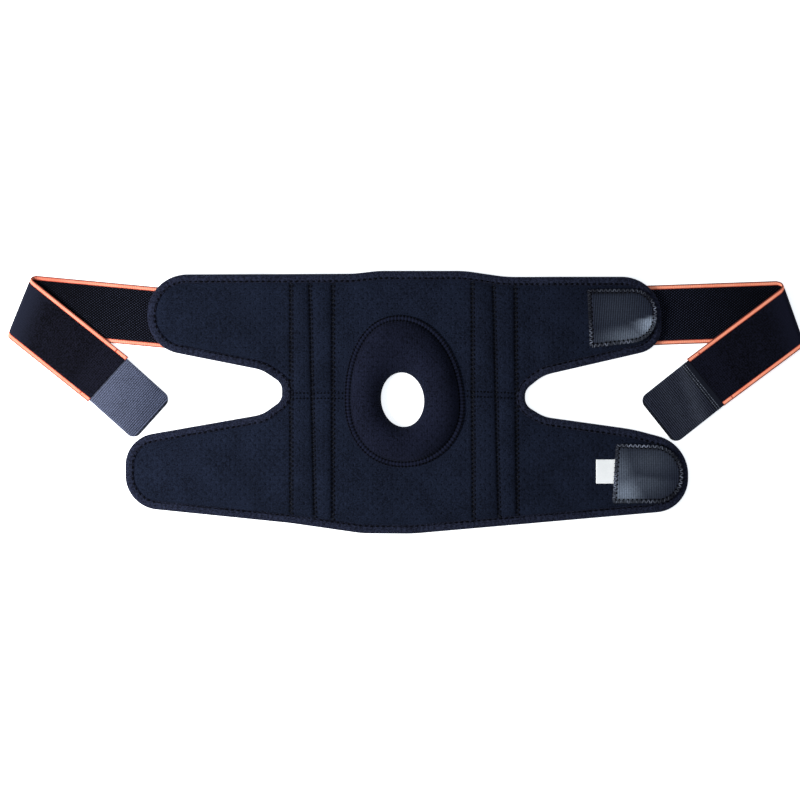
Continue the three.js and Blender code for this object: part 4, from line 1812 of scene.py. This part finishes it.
@dataclass
class HookPatch:
    """A D-shaped piece of hook tape, sewn on with a zigzag."""

    kit: Kit
    cut: PatchCut
    thick: float = 1.2
    rib_pitch: float = 2.0
    rib_height: float = 0.14
    hook_pitch: float = 1.3
    hook_sink: float = 0.05
    sewn_inset: float = 1.3
    needle_inset: float = 3.1
    sewn_dip: float = 0.25
    edge_drop: float = 0.3
    border: float = 0.6
    thread_glint_tone: tuple[float, float] = (0.055, 0.7)

    GRID = (0.4, 2.4)
    GRID_CLEAR = 3.4
    RINGS = (0.4, 0.9, 1.7, 2.6)
    RIB_RISE = (2.8, 4.2)
    BORDER_RISE = (2.4, 3.8)
    EDGE_RISE = (0.0, 0.8)
    HOOK_CLEAR = 4.2
    ROW_RISE = 0.1
    STITCH = Stitch(pitch=1.93, length=4.5, width=1.0, height=0.6, slant=math.radians(62.0))
    NEEDLE = Stitch(pitch=9.0, length=1.5, width=1.6, height=0.9)
    NEEDLE_RUN = (0.1, 0.0, 0.0)

    def __post_init__(self) -> None:
        """Takes the outline and the lean of the ribs."""
        self.outline = self.cut.outline
        self.lean = math.tan(math.radians(self.cut.lean))

    def ribs(self, points: Array) -> Array:
        """The ribs' relief, from 0 to 1, fading at the sewn edge."""
        inside = smooth(self.outline.depth(points), *self.RIB_RISE)
        return ripple(points[:, 0] + self.lean * points[:, 1], self.rib_pitch) * inside

    def bend(self, points: Array) -> Array:
        """How the whole sheet rises and falls.

        Args:
            points: Plane points.

        Returns:
            Heights to add.
        """
        z = np.zeros(len(points))
        for wave in self.cut.waves:
            travel = (points - (wave.x, wave.y)) @ unit(math.radians(wave.heading))
            z += wave.rise * smooth(travel, -wave.width / 2, wave.width / 2)
        return z - self.sewn_dip * bump(self.outline.depth(points) - 2.0, 2.0)

    def top(self, points: Array) -> Array:
        """Height of the upper face."""
        edge = self.edge_drop * (1 - smooth(self.outline.depth(points), *self.EDGE_RISE))
        return self.cut.base + self.thick - edge + self.bend(points) + self.rib_height * self.ribs(points)

    def build(self) -> Object:
        """The sheet with its ribs.

        Returns:
            The sheet's object.
        """
        sides = [np.arange(*span) for span in zip(self.outline.low, self.outline.high, self.GRID)]
        grid = self.outline.keep(lattice(*sides), self.GRID_CLEAR)
        rings = [self.outline.inset(d) for d in self.RINGS]
        plane, faces = triangles_inside([self.outline.points], np.concatenate([*rings, grid]))
        under = raised(plane, self.cut.base + self.bend(plane))
        shape = Shape.two_faced(raised(plane, self.top(plane)), faces, under, faces)
        marks = {
            "row": 0.5 + self.cut.contrast * (self.ribs(plane) - 0.5),
            # Painted reflection on the patch
            "painted_reflection": brightness(plane, self.cut.painted_reflection),
            "border": self.border * (1 - smooth(self.outline.depth(plane), *self.BORDER_RISE)),
        }
        shape.marks = {mark: np.tile(values, 2) for mark, values in marks.items()}
        shape.uv = np.concatenate([shape.points[list(face), :2] for face in shape.faces])
        return shape.to_object(self.cut.name, self.kit.finish(PATCH_HOOK))

    def feet(self) -> Array:
        """Where the hooks stand, along the ribs.

        Returns:
            Points on the patch.
        """
        low, high = self.outline.low, self.outline.high
        ribs = np.round(np.arange(low[0] - 5, high[0] + 5, self.rib_pitch) / self.rib_pitch) * self.rib_pitch
        points = lattice(ribs, np.arange(low[1], high[1], self.hook_pitch))
        points[:, 0] -= self.lean * points[:, 1]
        points = self.outline.keep(points, self.HOOK_CLEAR)
        return raised(points, self.top(points) - self.hook_sink)

    def row(self, inset: float) -> Array:
        """A path round the patch, on whatever lies there."""
        path = self.outline.inset(inset)
        return raised(path, self.top(path) + self.ROW_RISE)

    def needles(self, path: Array) -> list[Array]:
        """Where the needle went in, at every inner turn of the zigzag.

        Args:
            path: The zigzag's path.

        Returns:
            A very short path for each hole.
        """
        lengths = lengths_along(joined(path))
        count = int(lengths[-1] / self.STITCH.pitch)
        turns = (np.arange(count // 2) * 2 + 1.5) * lengths[-1] / count
        holes = resampled(joined(self.row(self.needle_inset)), lengths, turns)
        return [np.stack([hole, hole + self.NEEDLE_RUN]) for hole in holes]

    def dress(self) -> None:
        """Builds the patch, its hooks and its zigzag."""
        name, rows = self.cut.name, self.kit.rows
        patch = settle(self.build(), Slot.HOOK, [self.cut.node])
        feet = self.feet()
        # The hooks get the same painted reflection as the tape under them
        painted_reflection = brightness(feet[:, :2], self.cut.painted_reflection)
        hooks = self.kit.hooks.plant(f"{name}_hooks", feet, painted_reflection, math.pi / 2, self.kit.finish(PATCH_HOOK))
        path = self.row(self.sewn_inset)
        # Painted glints: the zigzag thread is painted brighter at the patch's thread gleams
        least, gain = self.thread_glint_tone
        tone = least + gain * brightness(path[:, :2], self.cut.thread)
        grey, dark = self.kit.finish(GREY_THREAD), self.kit.finish(DARK_THREAD)
        zigzag = rows.sew(f"{name}_zigzag", [path], grey, self.STITCH, is_loop=True, tone=tone)
        # Dark beads as painted shade in the needle holes at the zigzag's inner turns
        needles = rows.sew(f"{name}_needle_holes", self.needles(path), dark, self.NEEDLE)
        fittings = [settle(fitting, Slot.HOOK) for fitting in (hooks, zigzag, needles)]
        tuple((self.outline.high - self.outline.low) * MM)
        self.outline.area() * MM * MM


@dataclass
class SideLabel:
    """A small plain label, tucked under the lower patch."""

    kit: Kit
    panel: WrapPanel
    left: float = 167.4
    right: float = 187.5
    top: float = -50.2
    bottom: float = -71.4
    thick: float = 0.4
    lift: float = 0.5
    sink: float = 0.05

    COLUMNS, ROWS = 28, 26

    def build(self) -> Object:
        """The bent tape, with a soft edge.

        Returns:
            The label's object.
        """
        x = np.linspace(self.left, self.right, self.COLUMNS)
        y = np.linspace(self.bottom, self.top, self.ROWS)
        plane = np.stack(np.meshgrid(x, y), axis=-1)
        free = (self.right - plane[..., 0]) / (self.right - self.left)
        bow = self.lift * smooth(free, 0.35, 1.0) * (0.6 + 0.4 * np.sin(plane[..., 1] / 5.0))
        under = self.panel.top(plane.reshape(-1, 2)).max() - self.sink + bow
        ring = np.concatenate([plane, plane[:, ::-1]], axis=1)
        height = np.concatenate([under + self.thick, under[:, ::-1]], axis=1)
        sections = np.concatenate([ring, height[..., None]], axis=-1)
        shape = loft(sections, y, ring[0, :, 0], False)
        return shape.to_object("label_tape", self.kit.finish(LABEL_WHITE))

    def dress(self) -> None:
        """Builds the label."""
        label = settle(self.build(), Slot.LABEL, ["side_label"])
        flat = ((self.right - self.left) * MM, (self.top - self.bottom) * MM)


# Straps

@dataclass(frozen=True)
class StrapCut:
    """What sets one strap apart: its sewn place, headings in degrees, lengths, tab and the tab's painted
    reflections.
    """

    name: str
    root: tuple[float, float]
    heading: float
    return_heading: float
    first_run: float
    return_run: float
    fold_radius: float
    slip: float
    tab_length: float
    tab_width: float
    tab_skew: float
    tab_shift: float
    upper_side: int
    bar_rows: tuple[float, ...] = ()
    fold_redness: float = 0.0
    # Painted reflection on the tab: towards the light, and in a band of sheen
    tab_shine: float = 0.0
    tab_sheen_streak: float = 0.0


LEFT_CUT = StrapCut(
    name="strap_left", root=(-131, 66.5), heading=174.6, return_heading=321.2, first_run=205.5,
    return_run=97.6, fold_radius=2.4, slip=2.7, tab_length=53.0, tab_width=49.2, tab_skew=3.2,
    tab_shift=0.0, upper_side=-1, fold_redness=0.4, tab_shine=0.24,
)
RIGHT_CUT = StrapCut(
    name="strap_right", root=(131, 73.5), heading=2.0, return_heading=216.9, first_run=204.6,
    return_run=93.0, fold_radius=3.6, slip=-4.2, tab_length=55.3, tab_width=50.6, tab_skew=-1.6,
    tab_shift=-0.6, upper_side=1, bar_rows=(4.6, 6.8), tab_sheen_streak=0.15,
)


@dataclass
class Strap:
    """An elastic strap with coloured edges that is folded over once and ends in a hook tab."""

    kit: Kit
    cut: StrapCut
    web: WebFinish
    edge: EdgingFinish
    tab_hook: HookFinish
    width: float = 52.6
    thick: float = 1.6
    edging_width: float = 4.0
    edging_thick: float = 1.45
    tuck: float = 0.25
    hem: float = 11.0
    tab_corner: float = 7.5
    tab_lap: float = 0.4
    row_pitch: float = 1.8
    row_height: float = 0.24
    hook_pitch: float = 1.3
    hook_clear: float = 1.2
    resting_gap: float = 0.3
    overlap_reach: float = 90.0
    floor_reach: float = 122.0
    rib: float = 1.6

    STEP = 1.2
    FOLD_STEP = 0.4
    WEB_COLUMNS = 26
    EDGE_COLUMNS = 7
    RIB_STEPS = 4
    TAB_COLUMNS = 25
    TAB_CORNER_STEPS = 16
    BAR_STATIONS = 60
    BAR_RISE = 0.12
    BAR = Stitch(pitch=1.9, length=2.1, width=0.85, height=0.5)

    def __post_init__(self) -> None:
        """Works out the strap's directions and the place of its fold."""
        self.along = unit(math.radians(self.cut.heading))
        self.across = np.array([-self.along[1], self.along[0]])
        self.fold_line = unit(math.radians((self.cut.heading + self.cut.return_heading) / 2))
        out = np.array([-self.fold_line[1], self.fold_line[0]])
        self.out = out * math.copysign(1, out @ self.along)
        self.fold = np.array(self.cut.root) + self.along * self.cut.first_run
        self.return_start = self.cut.first_run + math.pi * self.cut.fold_radius / (self.along @ self.out)
        self.length = self.return_start + self.cut.return_run
        self.fold_slant = -(self.across @ self.out) / (self.along @ self.out)
        self.skew = math.radians(self.cut.tab_skew)
        self.web_half = self.width / 2 - self.edging_width + self.tuck
        self.sewn = max(self.cut.bar_rows, default=0.0)

    def return_height(self, distance: Array) -> Array:
        """Height of the strap's middle above its first run, at a distance past the fold.

        Args:
            distance: How far past the fold.

        Returns:
            Heights.
        """
        resting = self.thick + self.resting_gap
        loose = 2 * self.cut.fold_radius
        settled = loose + (resting - loose) * smooth(distance, 0, self.overlap_reach)
        return settled - resting * smooth(distance, self.overlap_reach, self.floor_reach)

    def place(self, length: Array, across: Array, height: Array) -> Array:
        """Where points of the flat strap come to lie.

        Args:
            length: Distance from the sewn end.
            across: Place across, to the left of the way it runs.
            height: Height in the strap, from its middle.

        Returns:
            Points in the part's frame.
        """
        length, across, height = np.broadcast_arrays(length, across, height)
        flat = (length - self.cut.first_run)[..., None] * self.along + across[..., None] * self.across
        radius = self.cut.fold_radius
        travel = flat @ self.out
        bend = np.clip(travel / radius, 0, math.pi)
        past = travel - math.pi * radius
        out = np.where(past > 0, -past, np.minimum(travel, 0) + radius * np.sin(bend))
        rise = np.where(past > 0, self.return_height(past), radius * (1 - np.cos(bend)))
        along_fold = flat @ self.fold_line + self.cut.slip * bend / math.pi
        plane = self.fold + along_fold[..., None] * self.fold_line
        plane = plane + (out - np.sin(bend) * height)[..., None] * self.out
        return np.concatenate([plane, (self.thick / 2 + rise + np.cos(bend) * height)[..., None]], axis=-1)

    def slant(self, length: Array) -> Array:
        """How cross lines slant: square at the root, along the fold, then along the tab's edge."""
        to_fold = smooth(length, self.cut.first_run - 120, self.cut.first_run - 30)
        to_tab = smooth(length, self.return_start + 0.35 * self.cut.return_run, self.length)
        return self.fold_slant * to_fold * (1 - to_tab) - math.tan(self.skew) * to_tab

    def lengths(self, step: float) -> Array:
        """Lengths along the strap, closer together in the fold.

        Args:
            step: About how far apart they are.

        Returns:
            The lengths.
        """
        bends = (0.0, self.cut.first_run, self.return_start, self.length)
        made = [
            np.linspace(start, end, max(2, round((end - start) / pitch)), endpoint=False)
            for start, end, pitch in zip(bends, bends[1:], (step, self.FOLD_STEP, step))
        ]
        return np.concatenate([*made, [self.length]])

    def band(self, length: Array, across: Array, half: Array) -> Shape:
        """A strip of the strap.

        Args:
            length: Lengths of its rows.
            across: Places across, from left to right.
            half: Half its thickness, by row and place.

        Returns:
            The closed strip with a mark on its underside.
        """
        flat = length[:, None] + self.slant(length)[:, None] * across[None, :]
        upper = self.place(flat, across[None, :], half)
        under = self.place(flat, across[None, :], -half)
        sections = np.concatenate([upper, under[:, ::-1]], axis=1)
        u = np.concatenate([flat, flat[:, ::-1]], axis=1)
        shape = loft(sections, u, np.concatenate([across, across[::-1]]), False)
        shape.marks["underside"] = np.tile(np.repeat([0.0, 1.0], len(across)), len(length))
        return shape

    def webbing(self) -> Object:
        """The dark elastic between the coloured edges.

        Returns:
            The webbing's object.
        """
        spread = crowded(self.WEB_COLUMNS)
        length = self.lengths(self.STEP)
        rounding = (1 - np.abs(spread) ** 14) ** 0.5
        half = self.thick / 2 * (0.72 + 0.28 * rounding)
        half = half[None, :] + 0.03 * np.sin(length / 3.1)[:, None] * np.abs(spread)[None, :] ** 3
        shape = self.band(length, self.web_half * spread, half)
        marks = {
            "shade": smooth(length, self.length - 1.4, self.length - 0.5),
            "hem": smooth(length, self.length - 2.6 * self.hem, self.length - 1.6 * self.hem),
            "fold_highlight": 1 - smooth(length, self.return_start - 2.0, self.return_start + 24.0),
            # Painted shade towards the fold
            "fold_shade": smooth(length, self.cut.first_run - 110.0, self.cut.first_run - 10.0),
        }
        for mark, values in marks.items():
            shape.marks[mark] = np.repeat(values, 2 * len(spread))
        return shape.to_object(f"{self.cut.name}_webbing", self.kit.finish(self.web))

    def edging(self, side: int, label: str) -> Object:
        """One coloured edge, ribbed across.

        Args:
            side: 1 for the left edge, -1 for the right.
            label: Its name's ending.

        Returns:
            The edge's object.
        """
        spread = crowded(self.EDGE_COLUMNS)
        across = side * (self.width / 2 - self.edging_width / 2) + spread * self.edging_width / 2
        length = self.lengths(self.rib / self.RIB_STEPS)
        hem = self.length - self.hem
        pinch = 0.45 * bump(length - hem, 0.7) + 0.3 * smooth(length, hem, hem + 0.5)
        ribbed = (0.82 + 0.18 * ripple(length, self.rib)) * (1 - pinch)
        round_half = self.edging_thick / 2 * (0.35 + 0.65 * (1 - np.abs(spread) ** 3))
        shape = self.band(length, across, round_half[None, :] * ribbed[:, None])
        nick = bump(length - hem, 0.55)[:, None] * (side * spread < 0.5)[None, :]
        ends = smooth(length, self.length - 1.6, self.length)
        fold = smooth(length, self.cut.first_run - 60, self.cut.first_run - 10)
        fold = fold * (1 - smooth(length, self.cut.first_run, self.return_start))
        fold = fold * (side == self.cut.upper_side)
        shade = np.clip(nick + (ends + self.cut.fold_redness * fold)[:, None], 0, 1)
        shape.marks["shade"] = np.concatenate([shade, shade[:, ::-1]], axis=1).ravel()
        return shape.to_object(f"{self.cut.name}_{label}_edge", self.kit.finish(self.edge))

    def tab_rows(self) -> tuple[Array, Array]:
        """The tab's rows.

        Returns:
            Their reaches from its near edge and its half width there.
        """
        straight = self.cut.tab_length - self.tab_corner
        body = np.arange(0, straight, self.row_pitch / 4)
        turn = np.linspace(0, math.pi / 2, self.TAB_CORNER_STEPS)
        reach = np.concatenate([body, straight + self.tab_corner * np.sin(turn)])
        shrink = np.concatenate([np.zeros(len(body)), self.tab_corner * (1 - np.cos(turn))])
        return reach, self.cut.tab_width / 2 - shrink

    def tab_place(self, reach: Array, across: Array) -> tuple[Array, Array]:
        """Length and place across in the strap, for places on the tab."""
        along, aside = math.cos(self.skew), math.sin(self.skew)
        length = self.length - self.tab_lap / along + reach * along - across * aside
        return length, reach * aside + across * along + self.cut.tab_shift

    def tab_relief(self, reach: Array) -> Array:
        """The rows' relief, from 0 to 1, pressed flat where the tab is sewn on and at its end."""
        end = self.cut.tab_length
        flat = smooth(reach, self.sewn, self.sewn + 1.5) * (1 - smooth(reach, end - 2.0, end - 0.8))
        return ripple(reach, self.row_pitch) * flat

    def tab_gleam(self, reach: Array, across: Array) -> Array:
        """The tab's painted reflection: most at the near corner towards the light, and in a painted band of
        sheen.
        """
        far = reach / self.cut.tab_length + 0.5 * self.cut.upper_side * across / self.cut.tab_width
        sheen_streak = bump(reach - 16.0 + 0.35 * across, 7.0) + 0.4 * bump(reach - 36.0 + 0.2 * across, 9.0)
        return self.cut.tab_shine * (1 - smooth(far, -0.1, 1.2)) + self.cut.tab_sheen_streak * sheen_streak

    def tab(self) -> Object:
        """The hook tab at the strap's end.

        Returns:
            The tab's object.
        """
        reach, half_width = self.tab_rows()
        spread = crowded(self.TAB_COLUMNS)
        across = half_width[:, None] * spread[None, :]
        rows = self.tab_relief(reach)
        rounding = 0.55 + 0.45 * (1 - np.abs(spread) ** 16) ** 0.5
        end = 1 - 0.45 * smooth(reach, self.cut.tab_length - 0.7, self.cut.tab_length)
        half = self.thick / 2 * rounding[None, :] * end[:, None]
        length, place = self.tab_place(reach[:, None], across)
        ridges = self.row_height * rows[:, None]
        upper = self.place(length, place, half + (ridges - self.row_height / 2) * (np.abs(spread) < 0.99))
        # The return shows the strap's back, so the hooks stand on the face that the fold has turned up
        under = self.place(length, place, -half - ridges * (np.abs(spread) < 0.985))
        sections = np.concatenate([upper, under[:, ::-1]], axis=1)
        places = sections.shape[1]
        u = np.broadcast_to(reach[:, None], (len(reach), places))
        v = np.concatenate([across, across[:, ::-1]], axis=1)
        shape = loft(sections, u, v, False)
        border = 1 - smooth(reach, self.sewn, self.sewn + 0.8) if self.sewn else np.zeros(len(reach))
        shape.marks = {
            "row": np.repeat(rows, places),
            "border": np.repeat(border, places),
            # Painted reflection on the tab
            "painted_reflection": self.tab_gleam(u, v).ravel(),
        }
        return shape.to_object(f"{self.cut.name}_hook_tab", self.kit.finish(self.tab_hook))

    def tab_feet(self) -> tuple[Array, Array]:
        """Where the tab's hooks stand, along its rows.

        Returns:
            Points on the tab and how much painted reflection each hook gets.
        """
        half, corner = self.cut.tab_width / 2, self.tab_corner
        first = math.ceil((self.sewn + 1.6) / self.row_pitch)
        reach = np.arange(first, int((self.cut.tab_length - 2) / self.row_pitch)) * self.row_pitch
        reach, across = lattice(reach, np.arange(-half + 1.5, half - 1.4, self.hook_pitch)).T
        into = np.maximum(0, np.abs(across) - (half - corner))
        past = np.maximum(0, reach - (self.cut.tab_length - corner))
        is_clear = np.hypot(into, past) < corner - self.hook_clear
        reach, across = reach[is_clear], across[is_clear]
        feet = self.place(*self.tab_place(reach, across), -self.thick / 2 - self.row_height * 0.8)
        return feet, self.tab_gleam(reach, across)

    def bars(self) -> list[Array]:
        """Paths of the rows of thread that hold the tab, where they show.

        Returns:
            Points along each row.
        """
        half = self.cut.tab_width / 2 - 0.6
        across = np.linspace(-half, half, self.BAR_STATIONS)
        height = -self.thick / 2 - self.BAR_RISE
        return [self.place(*self.tab_place(reach, across), height) for reach in self.cut.bar_rows]

    def dress(self) -> None:
        """Builds the strap, its edges and its tab."""
        name = self.cut.name
        web = settle(self.webbing(), Slot.WEB, [name])
        for label, side in (("upper", self.cut.upper_side), ("lower", -self.cut.upper_side)):
            settle(self.edging(side, label), Slot.EDGING, [f"{name}_edging_{label}"])
        tab = settle(self.tab(), Slot.TAB, [f"{name}_tab"])
        heading = math.radians(self.cut.return_heading + 90)
        plastic = self.kit.finish(self.tab_hook)
        hooks = self.kit.hooks.plant(f"{name}_tab_hooks", *self.tab_feet(), heading, plastic)
        fittings = [settle(hooks, Slot.TAB)]
        if self.cut.bar_rows:
            thread = self.kit.finish(PALE_THREAD)
            bars = self.kit.rows.sew(f"{name}_bar_stitches", self.bars(), thread, self.BAR)
            fittings.append(settle(bars, Slot.TAB))
        flat = (2 * self.web_half * MM, self.length * MM)
        flat = (self.cut.tab_width * MM, self.cut.tab_length * MM)


# Studio

@dataclass(frozen=True)
class Lamp:
    """A square area light that faces the middle of the part, by its place and side in metres."""

    name: str
    place: tuple[float, float, float]
    size: float
    watts: float
    colour: Colour

    def build(self) -> None:
        """Hangs the light."""
        data = bpy.data.lights.new(self.name, "AREA")
        data.shape = "SQUARE"
        data.size = self.size
        data.energy = self.watts
        data.color = self.colour
        made = placed(self.name, data)
        made.location = self.place
        made.rotation_euler = (-Vector(self.place)).to_track_quat("-Z", "Y").to_euler()


@dataclass
class Studio:
    """A white floor, a soft key light from the left and a camera that looks straight down."""

    span: float = 704.0
    aim: tuple[float, float] = (-4.84, 2.02)
    lens: float = 150.0
    sensor: float = 36.0
    clip: tuple[float, float] = (0.05, 50.0)
    floor_half: float = 12000.0
    floor_drop: float = 0.05
    floor_glow: float = 0.69
    sky: float = 0.38

    LAMPS = (
        Lamp("key_light", (-0.75, -0.14, 0.56), 0.36, 14.3, (1.0, 0.99, 0.97)),
        Lamp("top_light", (0.1, 0.35, 1.9), 1.4, 4.0, (0.97, 0.98, 1.0)),
    )

    def camera(self) -> None:
        """The camera, as high as its lens needs for the span."""
        data = bpy.data.cameras.new("camera")
        data.lens, data.sensor_width = self.lens, self.sensor
        data.clip_start, data.clip_end = self.clip
        eye = placed("camera", data)
        eye.location = (self.aim[0] * MM, self.aim[1] * MM, self.span * MM * self.lens / self.sensor)
        bpy.context.scene.camera = eye

    def floor(self) -> None:
        """A wide pale floor."""
        paint = Paint("floor_white")
        grain = paint.noise(paint.place(), 60.0, 2.0)
        finish = paint.close(
            Base_Color=paint.mix(grain, srgb(244, 245, 247), srgb(250, 250, 251)),
            Roughness=0.9,
            Specular_IOR_Level=0.1,
            Emission_Color=(0.92, 0.96, 1.0, 1.0),
            Emission_Strength=self.floor_glow,
        )
        half = self.floor_half
        square = np.array([(-half, -half), (half, -half), (half, half), (-half, half)])
        Shape(raised(square, -self.floor_drop), [(0, 1, 2, 3)]).to_object("floor", finish)

    def surroundings(self) -> None:
        """The plain bright surroundings."""
        world = bpy.data.worlds.new("surroundings")
        world.use_nodes = True
        graph = Graph(world.node_tree)
        sockets = {"Color": (0.93, 0.96, 1.0, 1.0), "Strength": self.sky}
        sky = graph.add("ShaderNodeBackground", sockets)
        graph.add("ShaderNodeOutputWorld", {"Surface": sky})
        scene = bpy.context.scene
        scene.world = world
        scene.view_settings.view_transform = "Standard"
        scene.view_settings.look = "None"

    def build(self) -> None:
        """Sets the whole stage."""
        self.camera()
        self.floor()
        for lamp in self.LAMPS:
            lamp.build()
        self.surroundings()


def main() -> None:
    """Builds the sub-assemblies in order."""
    logging.basicConfig(level=logging.INFO, format="%(name)s %(message)s")
    Studio().build()
    kit = Kit()
    panel = WrapPanel(kit, covers=[UPPER_PATCH.outline, LOWER_PATCH.outline])
    panel.dress()
    EdgeBinding(kit, panel).dress()
    KneecapRing(kit, panel).dress()
    HookPatch(kit, UPPER_PATCH).dress()
    HookPatch(kit, LOWER_PATCH).dress()
    SideLabel(kit, panel).dress()
    Strap(kit, LEFT_CUT, WEB_LEFT, EDGE_LEFT, TAB_HOOK_LEFT).dress()
    Strap(kit, RIGHT_CUT, WEB_RIGHT, EDGE_RIGHT, TAB_HOOK_RIGHT).dress()


if __name__ == "__main__":
    main()
